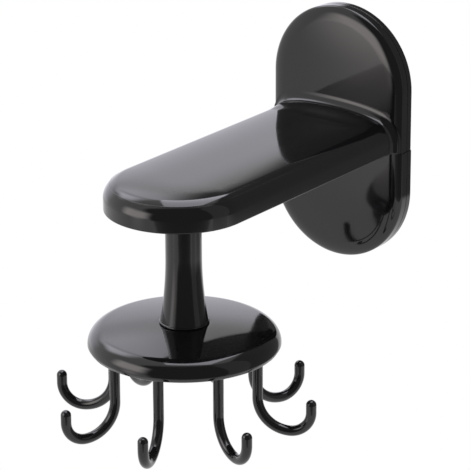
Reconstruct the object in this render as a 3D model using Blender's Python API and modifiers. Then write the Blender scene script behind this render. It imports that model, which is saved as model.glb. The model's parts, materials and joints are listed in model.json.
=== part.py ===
"""Adhesive coat hook rack: a wall plate with a hollow arm, and a turning carousel of hooks under its nose.

Frame: +Z is up, the wall is the plane y = 0 and the rack stands out from it along -Y. The origin is the
centre of the adhesive pad's rear face. All lengths are in metres.
"""

import math

import bmesh
import bpy
from mathutils import Matrix, Vector

MM = 0.001

# Clearances
SEAT_GAP = 0.3 * MM
SCREW_HOLE_GAP = 0.3 * MM
SPINDLE_GAP = 0.3 * MM
CUT_OVERRUN = 1.0 * MM
WELD_DISTANCE = 0.01 * MM

# Wall plate, front to back: moulded shell, rear plate behind it, adhesive pad
PLATE_WIDTH = 60.5 * MM
PLATE_HEIGHT = 100.8 * MM
PLATE_DEPTH = 8.0 * MM
PLATE_WALL_GAP = 0.6 * MM
PLATE_EDGE_WIDTH = 5.9 * MM
PLATE_EDGE_DEPTH = 2.2 * MM
PARTING_STEP = 0.3 * MM
PARTING_BELOW_ARM = 0.25 * MM
BRACKET_WALL = 2.2 * MM
RIB_EMBED = 0.5 * MM
PLATE_RIB_WIDTH = 1.4 * MM
PLATE_RIB_SPACING = 22.0 * MM
PLATE_RIB_SETBACK = 0.4 * MM
REAR_PLATE_FLOOR = 2.2 * MM
REAR_PLATE_CHAMFER = 0.4 * MM
PAD_DEPTH = 0.8 * MM
PAD_INSET = 3.0 * MM

# Screws of the rear plate
REAR_SCREW_FROM_END = 20.6 * MM
REAR_SCREW_HEAD_RADIUS = 2.6 * MM
REAR_SCREW_HEAD_HEIGHT = 1.4 * MM
REAR_SCREW_SHANK_RADIUS = 1.2 * MM
REAR_SCREW_TIP_WALL = 1.3 * MM
REAR_BOSS_RADIUS = 3.6 * MM

# Arm
ARM_WIDTH = 55.0 * MM
ARM_HEIGHT = 10.95 * MM
ARM_UNDERSIDE_DROP = 2.85 * MM
ARM_CROWN = 0.8 * MM
ARM_EDGE_WIDTH = 5.0 * MM
ARM_EDGE_HEIGHT = 5.2 * MM
ROOT_FILLET_TOP = 5.0 * MM
ROOT_FILLET_SIDE = 2.4 * MM
ROOT_WALL = 1.5 * MM
ARM_RIB_WIDTH = 1.4 * MM
ARM_RIB_SPACING = 20.0 * MM
ARM_RIB_DROP = 3.6 * MM
ARM_RIB_END_MARGIN = 12.0 * MM

# Underside cover of the arm
COVER_THICKNESS = 1.8 * MM
COVER_RECESS = 0.4 * MM
COVER_SCREW_HEAD_RADIUS = 2.5 * MM
COVER_SCREW_HEAD_HEIGHT = 1.3 * MM
COVER_SCREW_SHANK_RADIUS = 1.2 * MM
COVER_SCREW_TIP_WALL = 4.0 * MM
COVER_BOSS_RADIUS = 3.1 * MM
FRONT_SCREW_AHEAD_OF_AXIS = 18.7 * MM
SIDE_SCREW_BEHIND_AXIS = 25.0 * MM
SIDE_SCREW_FROM_EDGE = 10.0 * MM
COVER_SCREW_FROM_PLATE = 12.0 * MM
HUB_RADIUS = 9.0 * MM

# Pivot of the carousel, its axis measured from the plate's front face and the arm's nose from the axis
AXIS_REACH = 94.7 * MM
NOSE_OVERHANG = 30.1 * MM
HEAD_ROOM = 0.5 * MM
SPINDLE_RADIUS = 3.3 * MM
BUSH_WALL = 1.5 * MM
BUSH_FLANGE_WIDTH = 2.4 * MM
BUSH_FLANGE_THICKNESS = 0.8 * MM
THRUST_WASHER_THICKNESS = 0.6 * MM
RETAINING_WASHER_RADIUS = 6.8 * MM
RETAINING_WASHER_THICKNESS = 0.7 * MM
SPINDLE_SCREW_HEAD_RADIUS = 2.9 * MM
SPINDLE_SCREW_HEAD_HEIGHT = 1.3 * MM
SPINDLE_SCREW_SHANK_RADIUS = 1.4 * MM
SPINDLE_SCREW_LENGTH = 11.0 * MM

# Post
POST_RADIUS = 6.75 * MM
POST_FOOT_RADIUS = 9.35 * MM
POST_FOOT_DROP = 48.0 * MM
POST_FLARE_HEIGHT = 26.0 * MM
POST_LIP_HEIGHT = 0.5 * MM
POST_CHAMFER = 0.4 * MM
SPIGOT_RADIUS = 5.0 * MM
SPIGOT_LENGTH = 4.8 * MM

# Domed cover of the disc
DISC_RADIUS = 36.0 * MM
DISC_CROWN_RADIUS = 225.0 * MM
DISC_RIM_RADIUS = 6.2 * MM
DISC_SKIRT = 1.4 * MM
DISC_TUCK = 0.8 * MM
DISC_SEAT_MARGIN = 0.6 * MM
DISC_WALL = 2.0 * MM
COLLAR_WALL = 2.6 * MM
CLAMP_RING_WIDTH = 3.6 * MM

# Hook plate under the disc
HOOK_PLATE_THICKNESS = 1.8 * MM
HOOK_PLATE_RECESS = 0.2 * MM
SOCKET_COLLAR_RADIUS = 3.9 * MM
SOCKET_COLLAR_DROP = 1.2 * MM
CLAMP_POCKET_RADIUS = 6.4 * MM
CLAMP_POCKET_ROOF = 1.6 * MM
CLAMP_BOSS_RADIUS = 8.2 * MM
CLAMP_WASHER_RADIUS = 5.6 * MM
CLAMP_WASHER_THICKNESS = 0.7 * MM
CLAMP_SCREW_HEAD_RADIUS = 3.0 * MM
CLAMP_SCREW_HEAD_HEIGHT = 1.5 * MM
CLAMP_SCREW_SHANK_RADIUS = 1.4 * MM
CLAMP_SCREW_LENGTH = 12.0 * MM

# Hooks
HOOK_COUNT = 8
FIRST_HOOK_HEADING = math.radians(18.8)
HOOK_TURN = math.radians(4.0)
HOOK_CIRCLE_INSET = 7.5 * MM
HOOK_WIRE_RADIUS = 1.96 * MM
HOOK_HEAD_RADIUS = 3.1 * MM
HOOK_HEAD_HEIGHT = 1.1 * MM
HOOK_NECK_LENGTH = 0.3 * MM
HOOK_STEM_LENGTH = 15.6 * MM
HOOK_INNER_RADIUS = 12.25 * MM
HOOK_OUTER_RADIUS = 8.15 * MM
HOOK_TIP_RISE = 3.1 * MM

# How finely round shapes are divided
TURN_STEPS = 40
SMALL_TURN_STEPS = 24
SCREW_STEPS = 16
END_ARC_STEPS = 18
PLATE_EDGE_STEPS = 4
NOSE_STEPS = 24
SECTION_EDGE_STEPS = 6
CROWN_STEPS = 4
FILLET_STEPS = 5
FLARE_STEPS = 6
DOME_STEPS = 5
RIM_STEPS = 5
INNER_STEPS = 3
INNER_BEND_STEPS = 8
OUTER_BEND_STEPS = 6
TIP_STEPS = 3
WIRE_BEVEL_RESOLUTION = 3
FLAT_ANGLE = math.radians(0.5)
SHARP_ANGLE = math.radians(35)

# Places that follow from the sizes above
PLATE_HALF_WIDTH = PLATE_WIDTH / 2
PLATE_HALF_HEIGHT = PLATE_HEIGHT / 2
PLATE_FRONT = PLATE_WALL_GAP + PLATE_DEPTH
SHELL_FLOOR = PLATE_FRONT - BRACKET_WALL
PAD_SEAT = PAD_DEPTH + SEAT_GAP
REAR_PLATE_FRONT = PAD_SEAT + REAR_PLATE_FLOOR
SHELL_BACK = REAR_PLATE_FRONT + SEAT_GAP

ARM_HALF_WIDTH = ARM_WIDTH / 2
ARM_BOTTOM = -ARM_UNDERSIDE_DROP
PARTING_LEVEL = ARM_BOTTOM - PARTING_BELOW_ARM
ARM_TOP = ARM_BOTTOM + ARM_HEIGHT
ARM_CEILING = ARM_TOP - BRACKET_WALL
AXIS_Y = -(PLATE_FRONT + AXIS_REACH)
NOSE_TIP = PLATE_FRONT + AXIS_REACH + NOSE_OVERHANG
NOSE_CENTRE = NOSE_TIP - ARM_HALF_WIDTH

COVER_BOTTOM = ARM_BOTTOM + COVER_RECESS
COVER_TOP = COVER_BOTTOM + COVER_THICKNESS
COVER_SCREW_LENGTH = ARM_TOP - COVER_SCREW_TIP_WALL - COVER_BOTTOM
REAR_SCREW_LENGTH = PLATE_FRONT - REAR_SCREW_TIP_WALL - PAD_SEAT
BUSH_INNER_RADIUS = SPINDLE_RADIUS + SPINDLE_GAP
BUSH_OUTER_RADIUS = BUSH_INNER_RADIUS + BUSH_WALL
SPINDLE_HEAD_BOTTOM = ARM_CEILING - HEAD_ROOM - SPINDLE_SCREW_HEAD_HEIGHT
WASHER_TOP = SPINDLE_HEAD_BOTTOM - SEAT_GAP
WASHER_BOTTOM = WASHER_TOP - RETAINING_WASHER_THICKNESS
SPINDLE_TOP = WASHER_BOTTOM - SEAT_GAP
FLANGE_TOP = SPINDLE_TOP
FLANGE_BOTTOM = FLANGE_TOP - BUSH_FLANGE_THICKNESS
HUB_TOP = FLANGE_BOTTOM - SEAT_GAP
THRUST_TOP = COVER_BOTTOM - SEAT_GAP
THRUST_BOTTOM = THRUST_TOP - THRUST_WASHER_THICKNESS
POST_TOP = THRUST_BOTTOM - SEAT_GAP
POST_FOOT = -POST_FOOT_DROP
SPIGOT_BOTTOM = POST_FOOT - SPIGOT_LENGTH

DISC_SEAT = POST_FOOT - SEAT_GAP
DISC_SEAT_RADIUS = POST_FOOT_RADIUS + DISC_SEAT_MARGIN
COLLAR_RADIUS = SPIGOT_RADIUS + SEAT_GAP
COLLAR_BOTTOM = SPIGOT_BOTTOM


def crown_height(radius):
    """Height of the disc's spherical crown at a radius; the crown meets the seat of the post's foot."""
    rise = math.sqrt(DISC_CROWN_RADIUS**2 - radius**2)
    return DISC_SEAT + rise - math.sqrt(DISC_CROWN_RADIUS**2 - DISC_SEAT_RADIUS**2)


RIM_CENTRE_RADIUS = DISC_RADIUS - DISC_RIM_RADIUS
RIM_START_ANGLE = math.asin(RIM_CENTRE_RADIUS / (DISC_CROWN_RADIUS - DISC_RIM_RADIUS))
RIM_START_RADIUS = DISC_CROWN_RADIUS * math.sin(RIM_START_ANGLE)
RIM_LEVEL = crown_height(RIM_START_RADIUS) - DISC_RIM_RADIUS * math.cos(RIM_START_ANGLE)
SKIRT_BOTTOM = RIM_LEVEL - DISC_SKIRT
HOOK_PLATE_BOTTOM = SKIRT_BOTTOM - HOOK_PLATE_RECESS
HOOK_PLATE_TOP = HOOK_PLATE_BOTTOM + HOOK_PLATE_THICKNESS
HOOK_PLATE_RADIUS = DISC_RADIUS - DISC_WALL - SEAT_GAP
CLAMP_BOSS_TOP = COLLAR_BOTTOM - SEAT_GAP
POCKET_ROOF = CLAMP_BOSS_TOP - CLAMP_POCKET_ROOF
CLAMP_WASHER_TOP = POCKET_ROOF - SEAT_GAP
CLAMP_WASHER_BOTTOM = CLAMP_WASHER_TOP - CLAMP_WASHER_THICKNESS
CLAMP_HEAD_TOP = CLAMP_WASHER_BOTTOM - SEAT_GAP
HOOK_CIRCLE_RADIUS = DISC_RADIUS - HOOK_CIRCLE_INSET
HOOK_HEAD_BOTTOM = HOOK_PLATE_TOP + SEAT_GAP
HOOK_HEAD_TOP = HOOK_HEAD_BOTTOM + HOOK_NECK_LENGTH + HOOK_HEAD_HEIGHT
CLAMP_RING_BOTTOM = HOOK_HEAD_TOP + SEAT_GAP
SOCKET_BOTTOM = HOOK_PLATE_BOTTOM - SOCKET_COLLAR_DROP
HOOK_BOTTOM = SOCKET_BOTTOM - HOOK_STEM_LENGTH - HOOK_INNER_RADIUS

RACK = bpy.data.collections.new("adhesive_coat_hook_rack")
CUTTERS = bpy.data.collections.new("cutters")


def clear_scene():
    """Start from an empty scene with the rack's two collections in it."""
    for item in list(bpy.data.objects):
        bpy.data.objects.remove(item, do_unlink=True)
    bpy.context.scene.collection.children.link(RACK)
    bpy.context.scene.collection.children.link(CUTTERS)


def surface(name, colour, roughness, metallic=0.0):
    """A Principled surface with one colour."""
    material = bpy.data.materials.new(name)
    material.use_nodes = True
    shader = material.node_tree.nodes["Principled BSDF"]
    shader.inputs["Base Color"].default_value = (*colour, 1.0)
    shader.inputs["Roughness"].default_value = roughness
    shader.inputs["Metallic"].default_value = metallic
    return material


def home(piece):
    """Move an object from wherever it was made into the cutters' collection."""
    for collection in list(piece.users_collection):
        collection.objects.unlink(piece)
    CUTTERS.objects.link(piece)
    piece.hide_render = True
    piece.display_type = "WIRE"
    return piece


def finished(piece, name, material, parent=None):
    """Turn a piece into one of the rack's own parts, with its material and smooth round faces."""
    CUTTERS.objects.unlink(piece)
    RACK.objects.link(piece)
    piece.name = name
    piece.hide_render = False
    piece.display_type = "TEXTURED"
    piece.data.materials.clear()
    piece.data.materials.append(material)
    if piece.type == "MESH":
        piece.data.shade_smooth()
        piece.data.set_sharp_from_angle(angle=SHARP_ANGLE)
    if parent is not None:
        piece.parent = parent
        piece.matrix_parent_inverse = parent.matrix_world.inverted()
    return piece


def arc(centre, radius, start, stop, steps):
    """Points on a circle from angle start to angle stop, both included."""
    points = []
    for step in range(steps + 1):
        angle = start + (stop - start) * step / steps
        points.append((centre[0] + radius * math.cos(angle), centre[1] + radius * math.sin(angle)))
    return points


def stadium(half_width, half_height):
    """An upright outline with straight sides and half-round ends."""
    rise = half_height - half_width
    top = arc((0, rise), half_width, 0, math.pi, END_ARC_STEPS)
    bottom = arc((0, -rise), half_width, math.pi, 2 * math.pi, END_ARC_STEPS)
    return top + bottom


def plate_ring(inset, step, distance):
    """The plate's outline moved in by an inset, and out again by a step below its parting line."""
    rise = PLATE_HALF_HEIGHT - PLATE_HALF_WIDTH
    upper = PLATE_HALF_WIDTH - inset
    lower = upper + step
    top = arc((0, rise), upper, 0, math.pi, END_ARC_STEPS)
    bottom = arc((0, -rise), lower, math.pi, 2 * math.pi, END_ARC_STEPS)
    left = [(-upper, PARTING_LEVEL), (-lower, PARTING_LEVEL)]
    right = [(lower, PARTING_LEVEL), (upper, PARTING_LEVEL)]
    return [(across, -distance, height) for across, height in top + left + bottom + right]


def nose_outline(half_width, back):
    """The arm seen from above: straight from the wall side, half round at the nose."""
    nose = arc((0, -NOSE_CENTRE), half_width, 0, -math.pi, NOSE_STEPS)
    return [(half_width, -back)] + nose + [(-half_width, -back)]


def meshed(piece):
    """The mesh of a curve object, in a new object at the same place, with the curve removed."""
    graph = bpy.context.evaluated_depsgraph_get()
    mesh = bpy.data.meshes.new_from_object(piece.evaluated_get(graph))
    work = bmesh.new()
    work.from_mesh(mesh)
    bmesh.ops.remove_doubles(work, verts=work.verts, dist=WELD_DISTANCE)
    bmesh.ops.dissolve_limit(work, angle_limit=FLAT_ANGLE, verts=work.verts, edges=work.edges)
    bmesh.ops.recalc_face_normals(work, faces=work.faces)
    work.to_mesh(mesh)
    work.free()
    solid = home(bpy.data.objects.new(piece.name, mesh))
    solid.matrix_world = piece.matrix_world.copy()
    bpy.data.objects.remove(piece, do_unlink=True)
    return solid


def slab(name, outline, low, high, upright=False):
    """A flat outline with thickness, between two heights or, upright, two distances from the wall."""
    curve = bpy.data.curves.new(name, "CURVE")
    curve.dimensions = "2D"
    curve.fill_mode = "BOTH"
    curve.extrude = (high - low) / 2
    spline = curve.splines.new("POLY")
    spline.points.add(len(outline) - 1)
    for point, (across, along) in zip(spline.points, outline):
        point.co = (across, along, 0, 1)
    spline.use_cyclic_u = True
    piece = home(bpy.data.objects.new(name, curve))
    middle = (low + high) / 2
    if upright:
        piece.matrix_world = Matrix.Translation((0, -middle, 0)) @ Matrix.Rotation(math.radians(90), 4, "X")
    else:
        piece.matrix_world = Matrix.Translation((0, 0, middle))
    bpy.context.view_layer.update()
    return meshed(piece)


def box(name, low, high):
    """A box from its lowest to its highest corner."""
    low = Vector(low)
    high = Vector(high)
    bpy.ops.mesh.primitive_cube_add(size=1, location=(low + high) / 2)
    piece = bpy.context.object
    piece.name = name
    piece.scale = high - low
    bpy.ops.object.transform_apply(location=False, rotation=False, scale=True)
    return home(piece)


def cylinder(name, radius, low, high, at, along="Z"):
    """A cylinder with an upright axis through (x, y), or, along Y, one through (x, z)."""
    middle = (low + high) / 2
    turn = (0, 0, 0)
    place = (at[0], at[1], middle)
    if along == "Y":
        turn = (math.radians(90), 0, 0)
        place = (at[0], -middle, at[1])
    bpy.ops.mesh.primitive_cylinder_add(
        vertices=SCREW_STEPS, radius=radius, depth=high - low, location=place, rotation=turn
    )
    piece = bpy.context.object
    piece.name = name
    return home(piece)


def turned(name, profile, at=(0, 0, 0), ring=False, steps=TURN_STEPS, pointing=(0, 0, 1)):
    """A profile of (radius, height) points, top to bottom down its outer side, turned round its axis."""
    mesh = bpy.data.meshes.new(name)
    points = [(radius, 0, height) for radius, height in profile]
    edges = [(index, index + 1) for index in range(len(points) - 1)]
    if ring:
        edges.append((len(points) - 1, 0))
    mesh.from_pydata(points, edges, [])
    piece = home(bpy.data.objects.new(name, mesh))
    screw = piece.modifiers.new("Turned profile", "SCREW")
    screw.angle = 2 * math.pi
    screw.steps = steps
    screw.render_steps = steps
    screw.use_merge_vertices = True
    screw.merge_threshold = WELD_DISTANCE
    piece.location = at
    piece.rotation_euler = Vector((0, 0, 1)).rotation_difference(Vector(pointing)).to_euler()
    bpy.context.view_layer.update()
    return piece


def combine(piece, tool, operation):
    """Cut, join or clip a piece with a tool that stays in the scene as a guide."""
    change = piece.modifiers.new(f"{operation.title()} {tool.name}", "BOOLEAN")
    change.object = tool
    change.operation = operation
    change.solver = "EXACT"


def pan_screw(head_radius, head_height, shank_radius, length):
    """Profile of a pan-head screw: its head's underside is at height 0 and its shank points down."""
    round_off = head_height / 2
    crown = arc((head_radius - round_off, round_off), round_off, math.pi / 2, 0, TIP_STEPS)
    head = [(0, head_height)] + crown + [(head_radius, 0)]
    return head + [(shank_radius, 0), (shank_radius, shank_radius - length), (0, -length)]


def flat_screw(head_radius, head_height, shank_radius, length):
    """Profile of a countersunk screw: its head's flat face is at height 0 and its shank points down."""
    head = [(0, 0), (head_radius, 0), (shank_radius, -head_height)]
    return head + [(shank_radius, shank_radius - length), (0, -length)]


def flat_screw_hole(head_radius, head_height, shank_radius, length):
    """Profile of the hole for a countersunk screw, open past its head and a little deeper than its tip."""
    mouth = [(0, CUT_OVERRUN), (head_radius + SEAT_GAP, CUT_OVERRUN), (head_radius + SEAT_GAP, 0)]
    neck = shank_radius + SCREW_HOLE_GAP
    return mouth + [(neck, -head_height), (neck, -length - SEAT_GAP), (0, -length - SEAT_GAP)]


def arm_section(half_width, top, bottom, edge_width, edge_height):
    """Half of the arm's cross-section, from the bottom of its side up and over to its middle."""
    crown_half = half_width - edge_width

    def crown(out):
        return top - ARM_CROWN * (out / half_width) ** 2

    points = [(half_width, bottom)]
    for step in range(SECTION_EDGE_STEPS + 1):
        angle = math.pi / 2 * step / SECTION_EDGE_STEPS
        out = crown_half + edge_width * math.cos(angle)
        points.append((out, crown(out) - edge_height * (1 - math.sin(angle))))
    for step in range(1, CROWN_STEPS + 1):
        out = crown_half * (1 - step / CROWN_STEPS)
        points.append((out, crown(out)))
    return points


def skinned(name, work):
    """The object of a skin made by hand, with doubled points welded and its faces pointing out."""
    bmesh.ops.remove_doubles(work, verts=work.verts, dist=WELD_DISTANCE)
    bmesh.ops.dissolve_degenerate(work, edges=work.edges, dist=WELD_DISTANCE)
    bmesh.ops.recalc_face_normals(work, faces=work.faces)
    mesh = bpy.data.meshes.new(name)
    work.to_mesh(mesh)
    work.free()
    return home(bpy.data.objects.new(name, mesh))


def carried_section(name, stations):
    """A solid skinned through half sections that are carried along one side, round the nose and back.

    Each station is a distance from the wall, a heading and the section there.
    """
    work = bmesh.new()
    rows = []
    for distance, heading, section in stations:
        row = []
        for out, height in section:
            place = (out * math.cos(heading), -distance - out * math.sin(heading), height)
            row.append(work.verts.new(place))
        rows.append(row)
    for row, following in zip(rows, rows[1:]):
        for index in range(len(row) - 1):
            work.faces.new((row[index], following[index], following[index + 1], row[index + 1]))
    work.faces.new(rows[0] + list(reversed(rows[-1]))[1:])
    work.faces.new([row[0] for row in rows])
    return skinned(name, work)


def ringed_plate(name, rings):
    """A solid skinned through outlines of the plate, from the rearmost to the foremost."""
    work = bmesh.new()
    rows = [[work.verts.new(point) for point in ring] for ring in rings]
    for row, following in zip(rows, rows[1:]):
        for index, vertex in enumerate(row):
            work.faces.new((row[index - 1], vertex, following[index], following[index - 1]))
    work.faces.new(rows[0])
    work.faces.new(rows[-1])
    return skinned(name, work)


def plate_shell():
    """The solid of the plate's shell: a straight side wall, then an elliptical edge up to the face."""
    rings = [plate_ring(0, PARTING_STEP, SHELL_BACK)]
    for step in range(PLATE_EDGE_STEPS + 1):
        angle = math.pi / 2 * step / PLATE_EDGE_STEPS
        inset = PLATE_EDGE_WIDTH * (1 - math.cos(angle))
        distance = PLATE_FRONT - PLATE_EDGE_DEPTH * (1 - math.sin(angle))
        rings.append(plate_ring(inset, PARTING_STEP, distance))
    return ringed_plate("plate shell", rings)


def along_arm(start_stations, section):
    """Stations along the right side, round the nose and back along the left side."""
    nose = [(NOSE_CENTRE, math.pi * step / NOSE_STEPS, section) for step in range(NOSE_STEPS + 1)]
    left = [(distance, math.pi, shape) for distance, shape in reversed(start_stations)]
    right = [(distance, 0, shape) for distance, shape in start_stations]
    return right + nose + left


def arm_body():
    """The arm's outer form, flared where it runs into the plate."""
    def section(side_growth, top_growth):
        return arm_section(
            ARM_HALF_WIDTH + side_growth,
            ARM_TOP + top_growth,
            ARM_BOTTOM,
            ARM_EDGE_WIDTH + side_growth,
            ARM_EDGE_HEIGHT + top_growth,
        )

    flared = section(ROOT_FILLET_SIDE, ROOT_FILLET_TOP)
    root = [(SHELL_FLOOR - CUT_OVERRUN, flared), (PLATE_FRONT, flared)]
    for step in range(1, FILLET_STEPS + 1):
        angle = math.pi / 2 * step / FILLET_STEPS
        distance = PLATE_FRONT + ROOT_FILLET_TOP * (1 - math.cos(angle))
        share = 1 - math.sin(angle)
        root.append((distance, section(ROOT_FILLET_SIDE * share, ROOT_FILLET_TOP * share)))
    return carried_section("arm body", along_arm(root, section(0, 0)))


def arm_cavity():
    """The hollow of the arm, open below."""
    section = arm_section(
        ARM_HALF_WIDTH - BRACKET_WALL,
        ARM_CEILING,
        ARM_BOTTOM - CUT_OVERRUN,
        ARM_EDGE_WIDTH - BRACKET_WALL,
        ARM_EDGE_HEIGHT - BRACKET_WALL,
    )
    return carried_section("arm cavity", along_arm([(PLATE_FRONT + ROOT_WALL, section)], section))


def cover_screw_places():
    """Where the four screws of the underside cover stand, as (x, y)."""
    side_x = ARM_HALF_WIDTH - SIDE_SCREW_FROM_EDGE
    side_y = AXIS_Y + SIDE_SCREW_BEHIND_AXIS
    return {
        "cover_screw_front": (0, AXIS_Y - FRONT_SCREW_AHEAD_OF_AXIS),
        "cover_screw_left": (-side_x, side_y),
        "cover_screw_right": (side_x, side_y),
        "cover_screw_rear": (0, -PLATE_FRONT - COVER_SCREW_FROM_PLATE),
    }


def rear_screw_places():
    """Heights of the two screws of the rear plate."""
    height = PLATE_HALF_HEIGHT - REAR_SCREW_FROM_END
    return {"rear_plate_screw_upper": height, "rear_plate_screw_lower": -height}


def cut_cover_screw_holes(piece):
    """Holes for the four cover screws, which point up."""
    hole = flat_screw_hole(
        COVER_SCREW_HEAD_RADIUS, COVER_SCREW_HEAD_HEIGHT, COVER_SCREW_SHANK_RADIUS, COVER_SCREW_LENGTH
    )
    for name, (x, y) in cover_screw_places().items():
        at = (x, y, COVER_BOTTOM)
        cutter = turned(f"{name} hole", hole, at, steps=SCREW_STEPS, pointing=(0, 0, -1))
        combine(piece, cutter, "DIFFERENCE")


def cut_rear_screw_holes(piece):
    """Holes for the two screws of the rear plate, which point away from the wall."""
    hole = flat_screw_hole(
        REAR_SCREW_HEAD_RADIUS, REAR_SCREW_HEAD_HEIGHT, REAR_SCREW_SHANK_RADIUS, REAR_SCREW_LENGTH
    )
    for name, height in rear_screw_places().items():
        at = (0, -PAD_SEAT, height)
        cutter = turned(f"{name} hole", hole, at, steps=SCREW_STEPS, pointing=(0, 1, 0))
        combine(piece, cutter, "DIFFERENCE")


def wall_bracket(material):
    """The one moulding of the plate's shell and the hollow arm, with ribs and screw bosses inside."""
    piece = plate_shell()
    combine(piece, arm_body(), "UNION")

    plate_inside = stadium(PLATE_HALF_WIDTH - BRACKET_WALL, PLATE_HALF_HEIGHT - BRACKET_WALL)
    cavity_back = SHELL_BACK - CUT_OVERRUN
    plate_cavity = slab("plate cavity", plate_inside, cavity_back, SHELL_FLOOR, upright=True)
    combine(piece, plate_cavity, "DIFFERENCE")
    combine(piece, arm_cavity(), "DIFFERENCE")

    for index in range(-1, 2):
        height = index * PLATE_RIB_SPACING
        half = PLATE_HALF_WIDTH - BRACKET_WALL + RIB_EMBED
        low = (-half, -SHELL_FLOOR - RIB_EMBED, height - PLATE_RIB_WIDTH / 2)
        high = (half, -SHELL_BACK - PLATE_RIB_SETBACK, height + PLATE_RIB_WIDTH / 2)
        combine(piece, box(f"plate rib {index}", low, high), "UNION")
    for name, height in rear_screw_places().items():
        root = SHELL_FLOOR + RIB_EMBED
        boss = cylinder(f"{name} boss", REAR_BOSS_RADIUS, SHELL_BACK, root, (0, height), "Y")
        combine(piece, boss, "UNION")
    for side in (-1, 1):
        x = side * ARM_RIB_SPACING / 2
        low = (x - ARM_RIB_WIDTH / 2, AXIS_Y + HUB_RADIUS + ARM_RIB_END_MARGIN, ARM_CEILING - ARM_RIB_DROP)
        high = (x + ARM_RIB_WIDTH / 2, -PLATE_FRONT - ROOT_WALL / 2, ARM_CEILING + RIB_EMBED)
        combine(piece, box(f"arm rib {side}", low, high), "UNION")
    for name, place in cover_screw_places().items():
        foot = COVER_TOP + SEAT_GAP
        boss = cylinder(f"{name} boss", COVER_BOSS_RADIUS, foot, ARM_CEILING + RIB_EMBED, place)
        combine(piece, boss, "UNION")
    cut_cover_screw_holes(piece)
    cut_rear_screw_holes(piece)
    return finished(piece, "wall_bracket", material)


def pad_outline(inset):
    """The adhesive pad's outline at an inset from the plate's."""
    return stadium(PLATE_HALF_WIDTH - inset, PLATE_HALF_HEIGHT - inset)


def rear_plate(material):
    """The plate that closes the bracket's shell, with a shallow seat for the pad and two screw holes."""
    rings = [
        plate_ring(REAR_PLATE_CHAMFER, PARTING_STEP, PLATE_WALL_GAP),
        plate_ring(0, PARTING_STEP, PLATE_WALL_GAP + REAR_PLATE_CHAMFER),
        plate_ring(0, PARTING_STEP, REAR_PLATE_FRONT),
    ]
    piece = ringed_plate("rear plate", rings)
    seat_back = PLATE_WALL_GAP - CUT_OVERRUN
    pad_seat = slab("pad seat", pad_outline(PAD_INSET - SEAT_GAP), seat_back, PAD_SEAT, upright=True)
    combine(piece, pad_seat, "DIFFERENCE")
    cut_rear_screw_holes(piece)
    return finished(piece, "rear_plate", material)


def adhesive_pad(material):
    """The foam pad that sticks the rack to the wall."""
    pad = slab("pad", pad_outline(PAD_INSET), 0, PAD_DEPTH, upright=True)
    return finished(pad, "adhesive_pad", material)


def rear_plate_screws(material):
    """Two countersunk screws from behind, through the rear plate into the bracket's bosses."""
    profile = flat_screw(
        REAR_SCREW_HEAD_RADIUS, REAR_SCREW_HEAD_HEIGHT, REAR_SCREW_SHANK_RADIUS, REAR_SCREW_LENGTH
    )
    for name, height in rear_screw_places().items():
        at = (0, -PAD_SEAT, height)
        finished(turned("screw", profile, at, steps=SCREW_STEPS, pointing=(0, 1, 0)), name, material)


def arm_cover(material):
    """The plate under the arm, with the hub that carries the carousel's bush."""
    inset = BRACKET_WALL + SEAT_GAP
    outline = nose_outline(ARM_HALF_WIDTH - inset, PLATE_FRONT + ROOT_WALL + SEAT_GAP)
    piece = slab("cover", outline, COVER_BOTTOM, COVER_TOP)
    hub = cylinder("hub", HUB_RADIUS, COVER_BOTTOM + COVER_THICKNESS / 2, HUB_TOP, (0, AXIS_Y))
    combine(piece, hub, "UNION")
    bore_radius = BUSH_OUTER_RADIUS + SEAT_GAP
    bore = cylinder("hub bore", bore_radius, COVER_BOTTOM - CUT_OVERRUN, HUB_TOP + CUT_OVERRUN, (0, AXIS_Y))
    combine(piece, bore, "DIFFERENCE")
    cut_cover_screw_holes(piece)
    return finished(piece, "arm_cover", material)


def cover_screws(material):
    """Four countersunk screws from below, through the cover into the arm's bosses."""
    profile = flat_screw(
        COVER_SCREW_HEAD_RADIUS, COVER_SCREW_HEAD_HEIGHT, COVER_SCREW_SHANK_RADIUS, COVER_SCREW_LENGTH
    )
    for name, (x, y) in cover_screw_places().items():
        at = (x, y, COVER_BOTTOM)
        finished(turned("screw", profile, at, steps=SCREW_STEPS, pointing=(0, 0, -1)), name, material)


def pivot_bush(material):
    """The flanged bush in the cover's hub, in which the spindle turns."""
    flange = BUSH_OUTER_RADIUS + BUSH_FLANGE_WIDTH
    profile = [
        (BUSH_INNER_RADIUS, FLANGE_TOP),
        (flange, FLANGE_TOP),
        (flange, FLANGE_BOTTOM),
        (BUSH_OUTER_RADIUS, FLANGE_BOTTOM),
        (BUSH_OUTER_RADIUS, COVER_BOTTOM),
        (BUSH_INNER_RADIUS, COVER_BOTTOM),
    ]
    bush = turned("bush", profile, (0, AXIS_Y, 0), ring=True, steps=SMALL_TURN_STEPS)
    return finished(bush, "pivot_bush", material)


def washer(name, inner, outer, high, thickness, material, parent=None):
    """A flat ring on the carousel's axis, measured down from its upper face."""
    low = high - thickness
    profile = [(inner, high), (outer, high), (outer, low), (inner, low)]
    piece = turned("washer", profile, (0, AXIS_Y, 0), ring=True, steps=SMALL_TURN_STEPS)
    return finished(piece, name, material, parent)


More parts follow.
